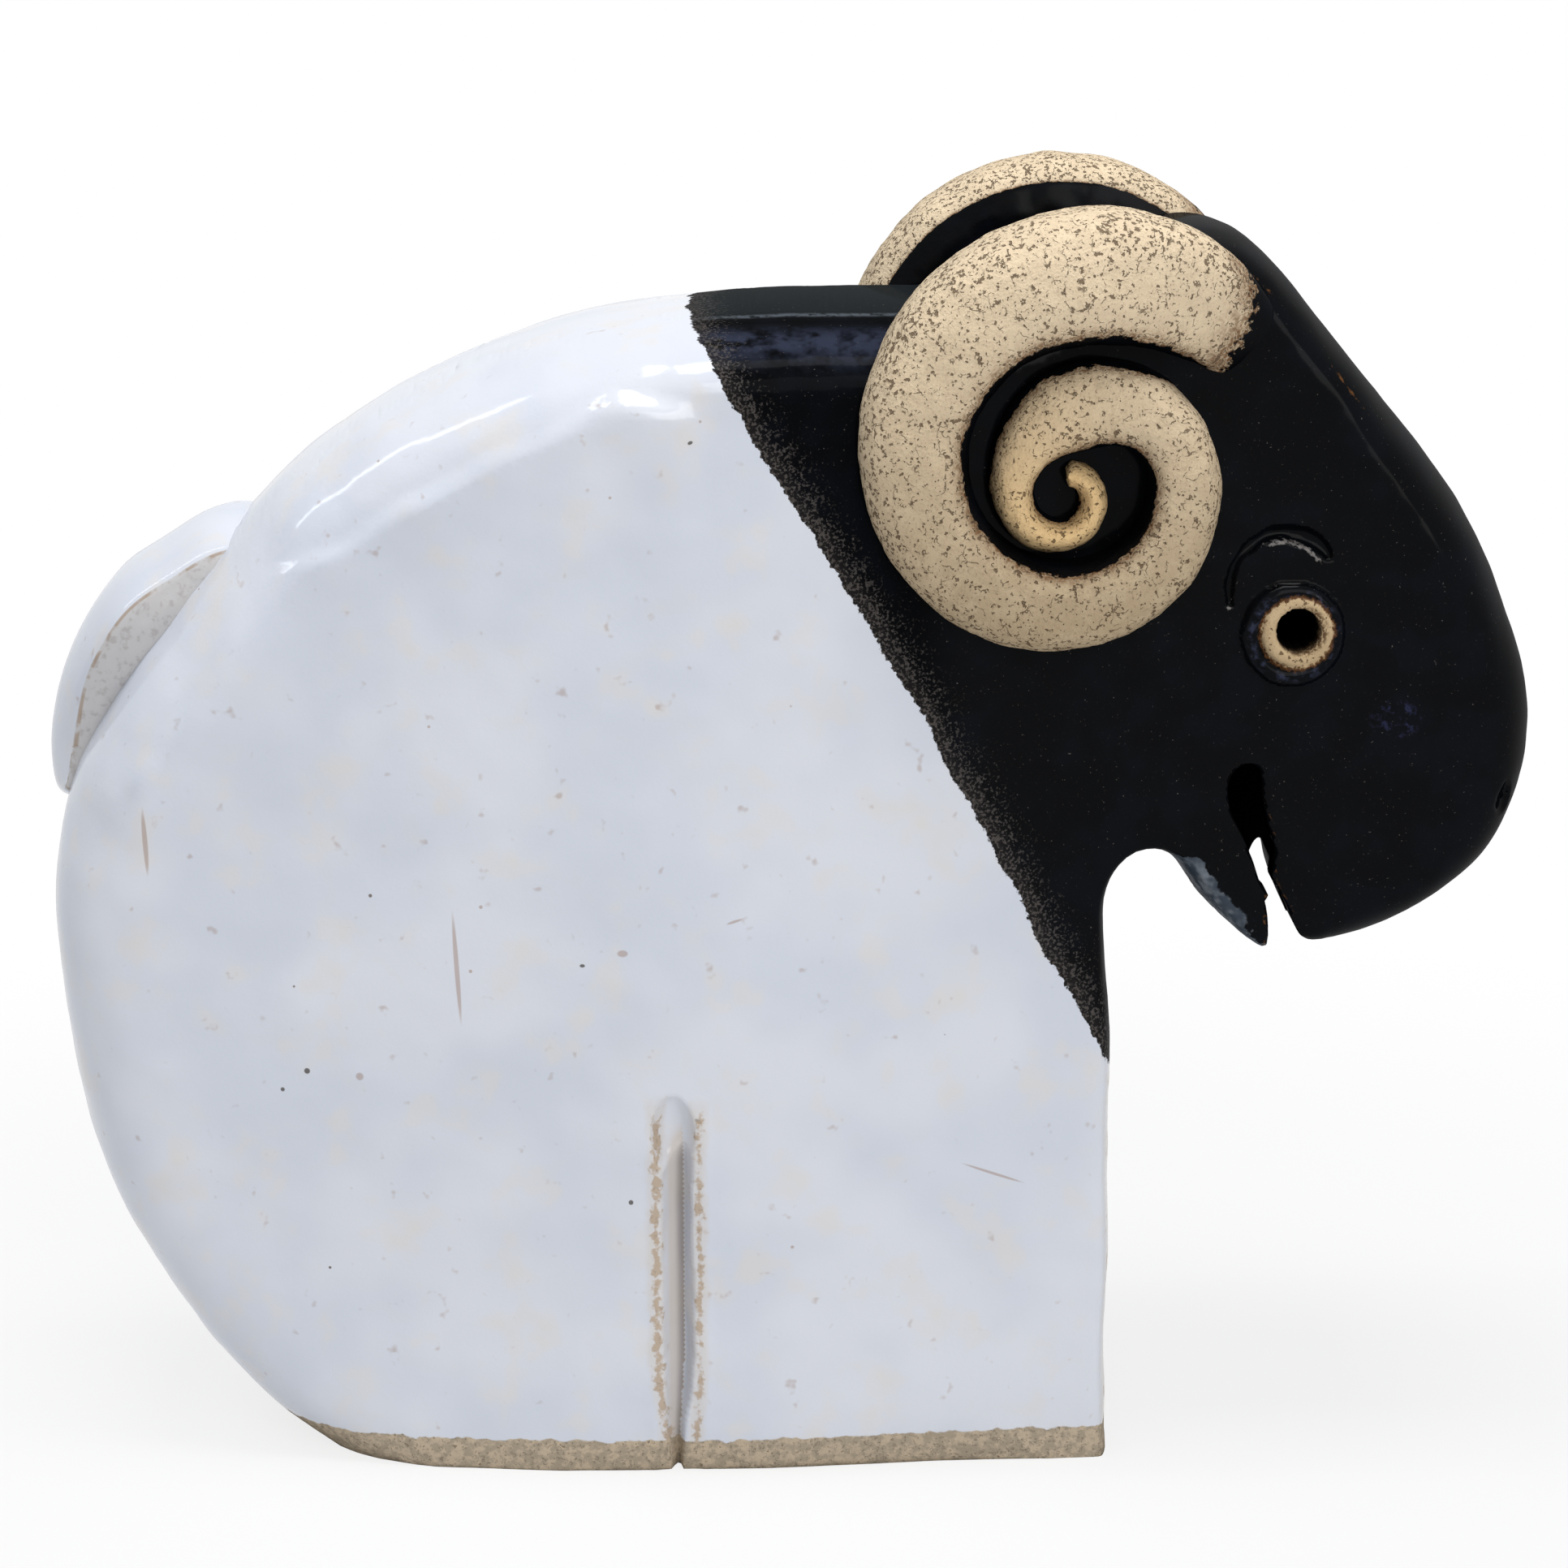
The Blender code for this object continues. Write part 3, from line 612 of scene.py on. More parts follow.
@dataclass(frozen=True)
class Brow:
    """Arc scored above an eye."""

    x: float = 58.0
    z: float = 106.8
    radius: float = 6.4
    start: float = math.radians(38)
    end: float = math.radians(195)
    half_width: float = 0.8
    depth: float = 1.5
    deep_end: float = math.radians(80)

    def relief(self, spots: Points, base: Points) -> Points:
        """Cut the arc into the heights of a face.

        Args:
            spots: Rows of x and z.
            base: Height of the face at each spot.

        Returns:
            The new heights.
        """
        across, up = spots[:, 0] - self.x, spots[:, 1] - self.z
        turn = np.mod(np.arctan2(up, across), math.tau)
        nearest = np.clip(turn, self.start, self.end)
        away = np.hypot(across - self.radius * np.cos(nearest), up - self.radius * np.sin(nearest))
        away += Unevenness(1.6, 9).heights(spots[:, 0], spots[:, 1]) * 0.22
        deep = np.exp(-((nearest - self.deep_end) / 0.6) ** 2)
        half_width = self.half_width * (0.75 + 0.6 * deep)
        cut = np.clip(1 - (away / half_width) ** 2, 0, 1) ** 0.5
        lower = np.hypot(across, up) < self.radius
        burr = np.exp(-((away - half_width - 0.3) / 0.3) ** 2) * np.where(lower, 0.35 * deep, 0)
        return base - self.depth * (0.45 + 0.55 * deep) * cut + burr

    def lip(self, spots: Points) -> Points:
        """How far inside the places of the painted highlight each spot lies: the lower lip of the arc and a
        spot at its lower end.

        Args:
            spots: Rows of x and z.

        Returns:
            Millimetres.
        """
        across, up = spots[:, 0] - self.x, spots[:, 1] - self.z
        turn = np.mod(np.arctan2(up, across), math.tau)
        along = np.minimum(turn - math.radians(34), math.radians(118) - turn) * self.radius
        low = self.radius - 1.05 - 0.3 * np.cos(turn)
        lip = np.minimum(0.28 - np.abs(np.hypot(across, up) - low), along * 0.2)
        # The painted highlight also goes on a spot at the arc's lower end.
        speck = 0.35 - np.hypot(spots[:, 0] - 51.7, spots[:, 1] - 104.5)
        return np.maximum(lip, speck)


@dataclass(frozen=True)
class LegSlit:
    """Knife cut between the legs: a dished start, a broad left slope and a steep right one."""

    crease_x: float = -11.7
    top: float = 47.6
    left: float = 2.5
    right: float = 1.1
    start_half: float = 2.7
    start_length: float = 9.0
    depth: float = 3.5
    point_height: float = 16.0
    foot_x: float = -12.6

    def relief(self, spots: Points, base: Points) -> Points:
        """Cut the slit into the heights of a face.

        Args:
            spots: Rows of x and z.
            base: Height of the face at each spot.

        Returns:
            The new heights.
        """
        x, z = spots[:, 0], spots[:, 1]
        to_point = smooth_rise(self.point_height, -2.0, z)
        crease = self.crease_x + (self.foot_x - self.crease_x) * to_point
        crease += Unevenness(7, 21).heights(z, 0 * z) * 0.18
        narrow = 1 - 0.62 * to_point
        ragged = Unevenness(1.5, 23).heights(x, z) * 0.14
        reach = np.where(x < crease, self.left, self.right) * narrow + ragged
        inside = np.clip(1 - np.abs(x - crease) / np.maximum(reach, 0.2), 0, 1)
        below = smooth_rise(self.top - 1.5, self.top - self.start_length, z)
        cut = self.depth * (0.45 + 0.55 * narrow) * inside ** 0.72 * below
        dish_x = (x + 12.9) / self.start_half
        dish_z = (z - (self.top - self.start_length * 0.52)) / (self.start_length * 0.56)
        dish = np.clip(1 - dish_x ** 2 - dish_z ** 2, 0, 1) ** 0.8 * 2.3
        rim = np.exp(-((np.abs(x + 12.35) - 3.0) / 0.8) ** 2) * 0.14 * smooth_rise(self.top, self.top - 6, z)
        return base - np.maximum(cut, dish) + rim

    def hollowed(self, spots: Points) -> Points:
        """How deep in the cut each spot lies: 0 to 1 on the left slope, and 0 to -1 on the right one.

        Args:
            spots: Rows of x and z.

        Returns:
            The depths.
        """
        x, z = spots[:, 0], spots[:, 1]
        to_point = smooth_rise(self.point_height, -2.0, z)
        crease = self.crease_x + (self.foot_x - self.crease_x) * to_point
        reach = np.where(x < crease, self.left, self.right) * (1 - 0.62 * to_point)
        inside = np.clip(1 - np.abs(x - crease) / np.maximum(reach, 0.2), 0, 1)
        inside *= smooth_rise(self.top - 2, self.top - self.start_length, z)
        return np.where(x < crease, inside, -inside)

    def bare(self, spots: Points) -> Points:
        """How near each spot is to the bare rims of the slit, in millimetres inside them.

        Args:
            spots: Rows of x and z.

        Returns:
            The distances.
        """
        x, z = spots[:, 0], spots[:, 1]
        narrow = 1 - 0.5 * smooth_rise(self.point_height, 2, z)
        left = 0.85 - np.abs(x - (self.crease_x - self.left * narrow - 0.75))
        right = 0.75 - np.abs(x - (self.crease_x + self.right * narrow + 0.75))
        rims = np.maximum(left, right)
        return np.minimum(rims, (self.top - 1.5 - z) / 3)


@dataclass(frozen=True)
class Nostril:
    """Teardrop dent near the tip of the muzzle."""

    x: float = 84.9
    z: float = 81.4
    half_width: float = 0.95
    half_length: float = 2.2
    depth: float = 1.5
    tilt: float = math.radians(8)

    def relief(self, spots: Points, base: Points) -> Points:
        """Press the dent into the heights of a face.

        Args:
            spots: Rows of x and z.
            base: Height of the face at each spot.

        Returns:
            The new heights.
        """
        across, up = spots[:, 0] - self.x, spots[:, 1] - self.z
        along = up * math.cos(self.tilt) + across * math.sin(self.tilt)
        side = across * math.cos(self.tilt) - up * math.sin(self.tilt)
        width = self.half_width * (1 - 0.35 * np.clip(along / self.half_length, -1, 1))
        away = np.hypot(side / width, along / self.half_length)
        return base - self.depth * np.clip(1 - away ** 2, 0, 1) ** 0.7


@dataclass
class RamBody(Cushion):
    """Body and head: one flat hollow form with a slotted mouth, cut eyes and brows, and slit legs."""

    name: str = "ram_body"
    outline: Outline = BODY_OUTLINE
    patches: tuple[Patch, ...] = (
        Patch(59.0, 105.0, 9.0, 11.0, 0.34),
        Patch(-12.5, 24.0, 5.2, 26.5, 0.36),
        Patch(85.0, 81.4, 2.6, 4.0, 0.36),
        Patch(0.0, 134.5, 15.0, 4.5, 0.6),
        Patch(55.0, 74.0, 6.5, 13.5, 0.6),
        Patch(-40.0, 122.0, 30.0, 13.0, 0.9),
    )
    body_half: float = 31.0
    head_half: float = 22.0
    eye: Eye = Eye()
    brow: Brow = Brow()
    slit: LegSlit = LegSlit()
    nostril: Nostril = Nostril()
    mouth: Mouth = Mouth()

    @staticmethod
    def swell(spots: Points) -> Points:
        """Half thickness of a thin head and a swelling belly."""
        swelling = np.exp(-((spots[:, 0] + 17.4) / 48) ** 2 - ((spots[:, 1] - 60) / 95) ** 2)
        return RamBody.head_half + (RamBody.body_half - RamBody.head_half) * swelling

    def half_thickness(self, spots: Points) -> Points:
        """A thin head and a swelling belly."""
        return self.swell(spots)

    def roll_scale(self, length: Points) -> Points:
        """The roll wavers, as a thumb leaves it.

        Args:
            length: Length along the outline.

        Returns:
            Share of the roll.
        """
        wave = Unevenness(17, 31).heights(length, 0 * length)
        ripple = Unevenness(7, 32).heights(length, 0 * length)
        return 1 + 0.13 * wave + 0.06 * ripple

    def relief(self, spots: Points, distance: Points, length: Points, height: Points, side: Side) -> Points:
        """Cut, press and raise all that stands on a face.

        Args:
            spots: Rows of x and z.
            distance: Distance of each spot from the outline.
            length: Length along the outline of the nearest place.
            height: Height of the smooth face.
            side: Which face it is.

        Returns:
            The new heights.
        """
        x, z = spots[:, 0], spots[:, 1]
        seed = 40 if side is Side.NEAR else 60
        inner = smooth_rise(0.2, 3.0, distance)
        lumps = Unevenness(26, seed).heights(x, z) * 0.42 + Unevenness(11, seed + 1).heights(x, z) * 0.14
        face = height + lumps * inner
        inset = distance - 9.3 - Unevenness(13, seed + 2).heights(length, 0 * length) * 1.8
        inset -= Unevenness(5, seed + 5).heights(length, 0 * length) * 0.5
        shoulder = smooth_rise(-1.2, 1.2, inset) * np.exp(-np.clip(inset, 0, None) / 13)
        on_back = smooth_rise(-8, -13, x) * smooth_rise(45, 85, z)
        face += shoulder * on_back * (1.15 + 0.45 * Unevenness(8, seed + 3).heights(length, 0 * length))
        on_neck = smooth_rise(-15, -9, x) * smooth_rise(17, 10, x) * smooth_rise(120, 128, z)
        face += on_neck * 0.9 * np.exp(-((distance - 6.5) / 3.2) ** 2)
        seam = smooth_rise(50.5, 53.5, x) * smooth_rise(70, 66, x) * smooth_rise(126, 131, z)
        broken = smooth_rise(-0.5, 0.3, Unevenness(2.4, seed + 4).heights(length, distance))
        face -= seam * broken * 0.32 * np.exp(-((distance - 3.1) / 0.3) ** 2)
        face = self.slit.relief(spots, face)
        face = self.nostril.relief(spots, face)
        face = self.brow.relief(spots, face)
        face = self.eye.relief(spots, face)
        face = self.mouth.relief(spots, face, side)
        return height + (face - height) * smooth_rise(0.05, 0.6, distance)

    def build(self) -> bpy.types.Object:
        """Model the slab, work both faces, cut the foot flat and note where the clay is bare.

        Returns:
            The body.
        """
        item = super().build()
        loop = self.outline.samples()
        places = Workbench.places(item)
        spots = places[:, [0, 2]]
        distance, _, length = Outline.nearest(loop, spots)
        for side in Side:
            on_side = places[:, 1] * side.value > 0
            height = np.abs(places[on_side, 1])
            worked = self.relief(spots[on_side], distance[on_side], length[on_side], height, side)
            places[on_side, 1] = side.value * worked
        Workbench.place(item, places)
        Workbench.rough_up(item, 9.0, 0.35)
        Workbench.rough_up(item, 2.6, 0.09)
        for knife in (Hollow().build(), self.mouth.knife(Side.NEAR), self.mouth.knife(Side.FAR)):
            Workbench.apply(item, "BOOLEAN", object=knife, operation="DIFFERENCE", solver="MANIFOLD")
            bpy.data.objects.remove(knife)
        Workbench.edit(item)
        bpy.ops.mesh.bisect(
            plane_co=(0, 0, 0), plane_no=(0, 0, 1), use_fill=True, clear_inner=True, threshold=1e-6)
        Workbench.close()
        self.note_bare(item, loop)
        return item

    def note_bare(self, item: bpy.types.Object, loop: Points) -> None:
        """Store how far inside bare clay each point lies, and how far inside the jaw's chamfer, where a
        reflection is painted.

        Args:
            item: The body.
            loop: Rows of x and z round the outline.
        """
        places = Workbench.places(item)
        spots = places[:, [0, 2]]
        distance, roll, length = Outline.nearest(loop, spots)
        bare = self.slit.bare(spots)
        corner = (spots[:, 0] > 37.5) & (spots[:, 1] < 49) & (np.abs(places[:, 1]) > 19)
        front = np.where(corner, 0.75 - np.abs(distance - 0.25), -3)
        bare = np.maximum(bare, front)
        wall = self.face(distance, roll, length, spots) - np.abs(places[:, 1])
        on_face = (wall < 2) & (places[:, 1] < 0)
        near_cut = self.mouth.gap(spots, Side.NEAR)
        lip = on_face & (spots[:, 1] > 62) & (spots[:, 1] < 82) & (near_cut < 1.5)
        mouth = np.where(lip, 0.1 - np.abs(near_cut - 0.4), -3)
        mouth = np.where(spots[:, 0] > 56.4, mouth, mouth - 0.25)
        # Inner faces of the hollow head, seen through the mouth, are painted near black as shade.
        Workbench.mark(item, "inner", (wall > 2.6) & (distance > 2.2) & (spots[:, 0] > 45))
        # The brow's lower lip carries a painted highlight.
        brow = np.where(on_face, self.brow.lip(spots), -3)
        # The depth on the slit's left slope steers the painted shade there.
        Workbench.mark(item, "cut", self.slit.hollowed(spots))
        Workbench.mark(item, "lip", np.clip(brow, -3, 3))
        seam = (spots[:, 0] > 50.5) & (spots[:, 0] < 70) & (spots[:, 1] > 126)
        crack = np.where(seam, 0.1 - np.abs(distance - 3.1), -3)
        Workbench.mark(item, "bare", np.clip(bare, -3, 3))
        Workbench.mark(item, "scorched", np.clip(np.maximum(mouth, crack), -3, 3))
        # The jaw's chamfer, where a reflection of the floor and streak highlights are painted.
        jaw_reflection_zone = (spots[:, 0] > 45.5) & (spots[:, 0] < 57.2) & (spots[:, 1] > 62) & (spots[:, 1] < 75.5)
        reach = 3.3 - 1.9 * smooth_rise(68.5, 64.5, spots[:, 1])
        jaw_painted_reflection = np.minimum(reach - distance, (75.0 - spots[:, 1]) / 1.5)
        Workbench.mark(item, "jaw_reflection_zone", np.clip(np.where(jaw_reflection_zone, jaw_painted_reflection, -3), -3, 3))


TAIL_OUTLINE = Outline((
    (-59.9, 110.0, 6), (-63.9, 113.2, 8), (-68.9, 112.9, 9), (-74.2, 109.9, 9), (-81.2, 104.8, 9),
    (-87.0, 95.3, 9), (-89.6, 85.5, 9), (-88.7, 78.2, 6), (-83.4, 79.0, 4), (-74.9, 91.0, 4),
    (-63.4, 104.5, 4),
))


@dataclass
class Tail(Cushion):
    """Wedge of clay pinched onto the rump, smooth outside and with a flat cut cheek on each side."""

    name: str = "ram_tail"
    outline: Outline = TAIL_OUTLINE
    power: float = 1.7
    rings: int = 14
    pitch: float = 0.8
    cheek: float = 13.9
    crown: float = 18.5

    def half_thickness(self, spots: Points) -> Points:
        """The wedge narrows towards its lower end."""
        return self.crown - 8.5 * smooth_rise(104, 78, spots[:, 1])

    def build(self) -> bpy.types.Object:
        """Model the wedge and cut its cheeks.

        Returns:
            The tail.
        """
        item = super().build()
        places = Workbench.places(item)
        down = smooth_rise(104, 78, places[:, 2])
        wave = Unevenness(6, 71).heights(places[:, 0], places[:, 2]) * 0.25
        cut = self.cheek - 6.5 * down + wave
        away = np.abs(places[:, 1])
        soft = np.where(away > cut, cut + (away - cut) * 0.12, away)
        places[:, 1] = np.sign(places[:, 1]) * soft
        Workbench.place(item, places)
        Workbench.rough_up(item, 7.0, 0.3)
        # The cut cheeks are greyed in the finish by painted shade.
        Workbench.mark(item, "cheek", np.clip(away - cut, -3, 3))
        for name in ("bare", "scorched", "jaw_reflection_zone", "lip"):
            Workbench.mark(item, name, np.full(len(places), -3.0))
        for name in ("inner", "cut"):
            Workbench.mark(item, name, np.zeros(len(places)))
        return item


@dataclass
class Horn:
    """Coil of raw clay on one side of the head, flat-faced, narrowing from its root to its curled tip.

    Attributes:
        side: Side of the head.
        steps: Sections along the coil.
        sides: Points round each section.
    """

    side: Side
    steps: int = 480
    sides: int = 72
    centre: tuple[float, float] = (33.8, 120.8)
    drift: tuple[float, float] = (-1.2, -3.0)
    start: float = math.radians(30)
    sweep: float = math.radians(743)
    hook: float = math.radians(38)
    root_radius: float = 24.1
    tip_radius: float = 2.6
    radius_power: float = 1.65
    radius_ease: float = 1.15
    root_width: float = 17.4
    tip_width: float = 3.2
    width_power: float = 1.85
    swell: float = 3.9
    swell_share: float = 0.568
    swell_span: float = 0.07
    swell_inward: float = 0.14
    face_slope: float = 0.14
    root_face: float = 35.0
    tip_face: float = 27.5
    near_seat: float = 17.0
    far_seat: float = 14.0
    root_narrowing: float = 0.5
    root_sink: float = 13.5
    root_share: float = 0.09
    far_shift: tuple[float, float] = (-1.2, 3.4)

    @property
    def name(self) -> str:
        """Name of the piece."""
        return f"ram_horn_{self.side.name.lower()}"

    @property
    def seat(self) -> float:
        """Distance of the coil's back from the middle plane."""
        return self.near_seat if self.side is Side.NEAR else self.far_seat

    def extra(self, share: Points) -> Points:
        """Extra width of the coil at the top of its second turn."""
        return self.swell * np.exp(-((share - self.swell_share) / self.swell_span) ** 2)

    def spine(self, share: Points) -> Points:
        """Centre line of the coil, as rows of x and z.

        Args:
            share: Shares of the coil's length.

        Returns:
            The rows.
        """
        angle = self.start + self.sweep * share + self.hook * smooth_rise(0.88, 1.0, share)
        radius = self.tip_radius + (self.root_radius - self.tip_radius) * (
            1 - share ** self.radius_ease) ** self.radius_power - self.swell_inward * self.extra(share)
        drift = smooth_rise(0.45, 0.75, share)
        shift = self.far_shift if self.side is Side.FAR else (0, 0)
        return np.stack([
            self.centre[0] + shift[0] + self.drift[0] * drift + radius * np.cos(angle),
            self.centre[1] + shift[1] + self.drift[1] * drift + radius * np.sin(angle),
        ], axis=1)

    def width(self, share: Points) -> Points:
        """Width of the coil, rounded off at its root and tip.

        Args:
            share: Shares of the coil's length.

        Returns:
            The widths.
        """
        width = self.tip_width + (self.root_width - self.tip_width) * (1 - share) ** self.width_power
        root = 1 - self.root_narrowing * np.clip(1 - share / self.root_share, 0, 1) ** 2
        tip = 1 - 0.6 * np.clip((share - 0.985) / 0.015, 0, 1) ** 2
        return (width + self.extra(share)) * root * tip

    def face(self, share: Points) -> Points:
        """Distance of the coil's flat face from the middle plane."""
        face = self.root_face + (self.tip_face - self.root_face) * share ** 1.5
        return face - self.root_sink * np.clip(1 - share / self.root_share, 0, 1) ** 2

    def build(self) -> bpy.types.Object:
        """Model the coil: a section is spun round the middle, then each section gets its place and size.

        Returns:
            The horn.
        """
        bpy.ops.object.select_all(action="DESELECT")
        bpy.ops.mesh.primitive_circle_add(
            vertices=self.sides, radius=MM, fill_type="NGON", location=(self.root_radius * MM, 0, 0))
        item = bpy.context.object
        item.name = item.data.name = self.name
        bpy.ops.object.transform_apply(location=True, rotation=True, scale=True)
        Workbench.edit(item)
        bpy.ops.mesh.spin(steps=self.steps, angle=self.sweep, center=(0, 0, 0), axis=(0, 1, 0))
        Workbench.close()

        order = np.arange(len(item.data.vertices))
        share = (order // self.sides) / self.steps
        corner = order % self.sides
        angle = math.tau * (corner + 0.5) / self.sides
        power = 3 - 0.9 * smooth_rise(0.55, 0.8, share)
        out = np.sign(np.cos(angle)) * np.abs(np.cos(angle)) ** (2 / power)
        up = np.sign(np.sin(angle)) * np.abs(np.sin(angle)) ** (2 / power)
        middle = self.spine(share)
        along = self.spine(np.clip(share + 0.001, 0, 1)) - self.spine(np.clip(share - 0.001, 0, 1))
        across = np.stack([along[:, 1], -along[:, 0]], axis=1) / np.linalg.norm(along, axis=1)[:, None]
        face = self.face(share)
        half_width = self.width(share) / 2
        half_height = (face - self.seat) / 2 - self.face_slope * half_width * (1 + out) / 2
        flat = middle + across * (out * half_width)[:, None]
        places = np.stack([
            flat[:, 0], self.side.value * (self.seat + half_height * (1 + up)), flat[:, 1]], axis=1)
        Workbench.place(item, places)
        Workbench.edit(item)
        bpy.ops.mesh.normals_make_consistent(inside=False)
        Workbench.close()
        Workbench.rough_up(item, 5.5, 0.55)
        Workbench.rough_up(item, 1.3, 0.22, 2)
        self.note_sand(item, share, out, half_height * (1 - up), half_height)
        return item

    def note_sand(
            self, item: bpy.types.Object, share: Points, out: Points, depth: Points, half: Points) -> None:
        """Store how far inside bare sand each point lies, and how near it is to the tip.

        Args:
            item: The horn.
            share: Share of the coil's length at each point.
            out: Place across the section, from -1 at the middle's side to 1 outside.
            depth: Depth below the flat face.
            half: Half the height of the section.
        """
        outside = smooth_rise(0.2, 0.7, out) * smooth_rise(0.52, 0.46, share)
        limit = 2.1 + 1.2 * smooth_rise(0.55, 0.7, share)
        limit = limit + (2 * half + 1.5 - limit) * outside
        start = 0.012 + 0.014 * np.clip(out, 0, 1) ** 2 - 0.004 * smooth_rise(0.0, -0.9, out)
        sand = np.minimum(limit - depth, (share - start) * 110)
        Workbench.mark(item, "sand", np.clip(sand, -3, 3))
        Workbench.mark(item, "curl", smooth_rise(0.48, 0.8, share))
        Workbench.mark(item, "edge", smooth_rise(0.2, 0.95, np.abs(out)))


class Wire:
    """Output of a shader node that takes part in sums."""

    def __init__(self, desk: "ShaderDesk", socket: bpy.types.NodeSocket) -> None:
        """Hold the output and the desk that adds its nodes."""
        self.desk = desk
        self.socket = socket

    def _sum(self, operation: str, first: object, second: object) -> "Wire":
        """Add one Math node."""
        return self.desk.node("ShaderNodeMath", {"operation": operation}, {0: first, 1: second})

    def __add__(self, other: object) -> "Wire":
        """Sum."""
        return self._sum("ADD", self, other)

    __radd__ = __add__

    def __sub__(self, other: object) -> "Wire":
        """Difference."""
        return self._sum("SUBTRACT", self, other)

    def __rsub__(self, other: object) -> "Wire":
        """Difference, with this as what is taken away."""
        return self._sum("SUBTRACT", other, self)

    def __mul__(self, other: object) -> "Wire":
        """Product."""
        return self._sum("MULTIPLY", self, other)

    __rmul__ = __mul__

    def __truediv__(self, other: object) -> "Wire":
        """Quotient."""
        return self._sum("DIVIDE", self, other)

    def most(self, other: object) -> "Wire":
        """The larger of the two."""
        return self._sum("MAXIMUM", self, other)

    def least(self, other: object) -> "Wire":
        """The smaller of the two."""
        return self._sum("MINIMUM", self, other)

    def size(self) -> "Wire":
        """The value without its sign."""
        return self._sum("ABSOLUTE", self, 0.0)

    def rise(self, low: float, high: float) -> "Wire":
        """Rise smoothly from 0 at low to 1 at high, or fall where low is the greater."""
        start, end, first, last = (low, high, 0.0, 1.0) if low < high else (high, low, 1.0, 0.0)
        return self.desk.node(
            "ShaderNodeMapRange", {"interpolation_type": "SMOOTHSTEP"},
            {"Value": self, "From Min": start, "From Max": end, "To Min": first, "To Max": last})


class ShaderDesk:
    """Nodes of one material."""

    GRAINS = (0.34, 0.6, 1.1, 2.4, 7.0, 24.0)

    def __init__(self, name: str) -> None:
        """Start an empty material.

        Args:
            name: Its name.
        """
        self.grains: dict[float, Wire] = {}
        self.material = bpy.data.materials.new(name)
        self.material.use_nodes = True
        self.tree = self.material.node_tree
        self.tree.nodes.clear()
        coordinates = self.node("ShaderNodeTexCoord", {}, {}, "Object")
        self.place = self.node(
            "ShaderNodeVectorMath", {"operation": "SCALE"}, {0: coordinates, "Scale": 1 / MM})
        self.x = self.node("ShaderNodeSeparateXYZ", {}, {0: self.place}, 0)
        self.y = Wire(self, self.x.socket.node.outputs[1])
        self.z = Wire(self, self.x.socket.node.outputs[2])

    def node(self, kind: str, settings: dict, inputs: dict, output: int | str = 0) -> Wire:
        """Add a node.

        Args:
            kind: Type of the node.
            settings: Its properties, set first.
            inputs: Values or wires of its sockets, by name or number.
            output: Which output is wanted.

        Returns:
            The output as a wire.
        """
        made = self.tree.nodes.new(kind)
        for name, value in settings.items():
            setattr(made, name, value)
        for name, value in inputs.items():
            if isinstance(value, Wire):
                self.tree.links.new(value.socket, made.inputs[name])
            else:
                made.inputs[name].default_value = value
        return Wire(self, made.outputs[output])

    def attribute(self, name: str) -> Wire:
        """Number stored at the mesh's points."""
        return self.node("ShaderNodeAttribute", {"attribute_name": name}, {}, "Fac")

    def grain(self, size: float) -> Wire:
        """Cloudy pattern. Lumps of nearly one size share one pattern, which keeps the render quick.

        Args:
            size: Size of the lumps.

        Returns:
            A number of about 0.25 to 0.75.
        """
        shared = min(self.GRAINS, key=lambda other: abs(math.log(other / size)))
        if shared not in self.grains:
            inputs = {"Vector": self.place, "Scale": 1 / shared, "Detail": 2.0, "Roughness": 0.62}
            self.grains[shared] = self.node("ShaderNodeTexNoise", {}, inputs)
        return self.grains[shared]

    def specks(self, cell: float, radius: float) -> tuple[Wire, Wire]:
        """Scattered round specks.

        Args:
            cell: Distance between places where a speck may be.
            radius: Radius of a speck.

        Returns:
            1 inside a speck and 0 outside, and a number that differs from speck to speck.
        """
        inputs = {"Vector": self.place, "Scale": 1 / cell}
        distance = self.node("ShaderNodeTexVoronoi", {"feature": "F1"}, inputs, "Distance")
        chance = Wire(self, distance.socket.node.outputs["Color"])
        return (distance * cell).rise(radius * 1.2, radius * 0.7), chance

    def cracks(self, cell: float, half_width: float) -> Wire:
        """Net of cracks.

        Args:
            cell: Size of the cells that the cracks go round.
            half_width: Half the width of a crack.

        Returns:
            1 in a crack and 0 outside.
        """
        push = Wire(self, self.grain(cell * 0.8).socket.node.outputs["Color"])
        warp = self.node(
            "ShaderNodeVectorMath", {"operation": "MULTIPLY_ADD"},
            {0: push, 1: (cell, cell, cell), 2: self.place})
        inputs = {"Vector": warp, "Scale": 1 / cell}
        edge = self.node("ShaderNodeTexVoronoi", {"feature": "DISTANCE_TO_EDGE"}, inputs, "Distance")
        return (edge * cell).rise(half_width * 1.5, half_width * 0.5)

    def blend(self, first: object, second: object, share: object) -> Wire:
        """Colour between two colours."""
        sockets = {0: share, 6: first, 7: second}
        return self.node("ShaderNodeMix", {"data_type": "RGBA"}, sockets, 2)

    def finish(self, inputs: dict, heights: list[tuple[Wire, float]]) -> bpy.types.Material:
        """Join the parts into a surface.

        Args:
            inputs: Inputs of the surface.
            heights: Patterns that raise the surface, each with its height in millimetres.

        Returns:
            The material.
        """
        normal = None
        for pattern, height in heights:
            sockets = {"Height": pattern, "Distance": height * MM, "Strength": 1.0}
            if normal:
                sockets["Normal"] = normal
            normal = self.node("ShaderNodeBump", {}, sockets)
        if normal:
            inputs = {**inputs, "Normal": normal}
        surface = self.node("ShaderNodeBsdfPrincipled", {}, inputs)
        output = self.tree.nodes.new("ShaderNodeOutputMaterial")
        self.tree.links.new(surface.socket, output.inputs["Surface"])
        return self.material


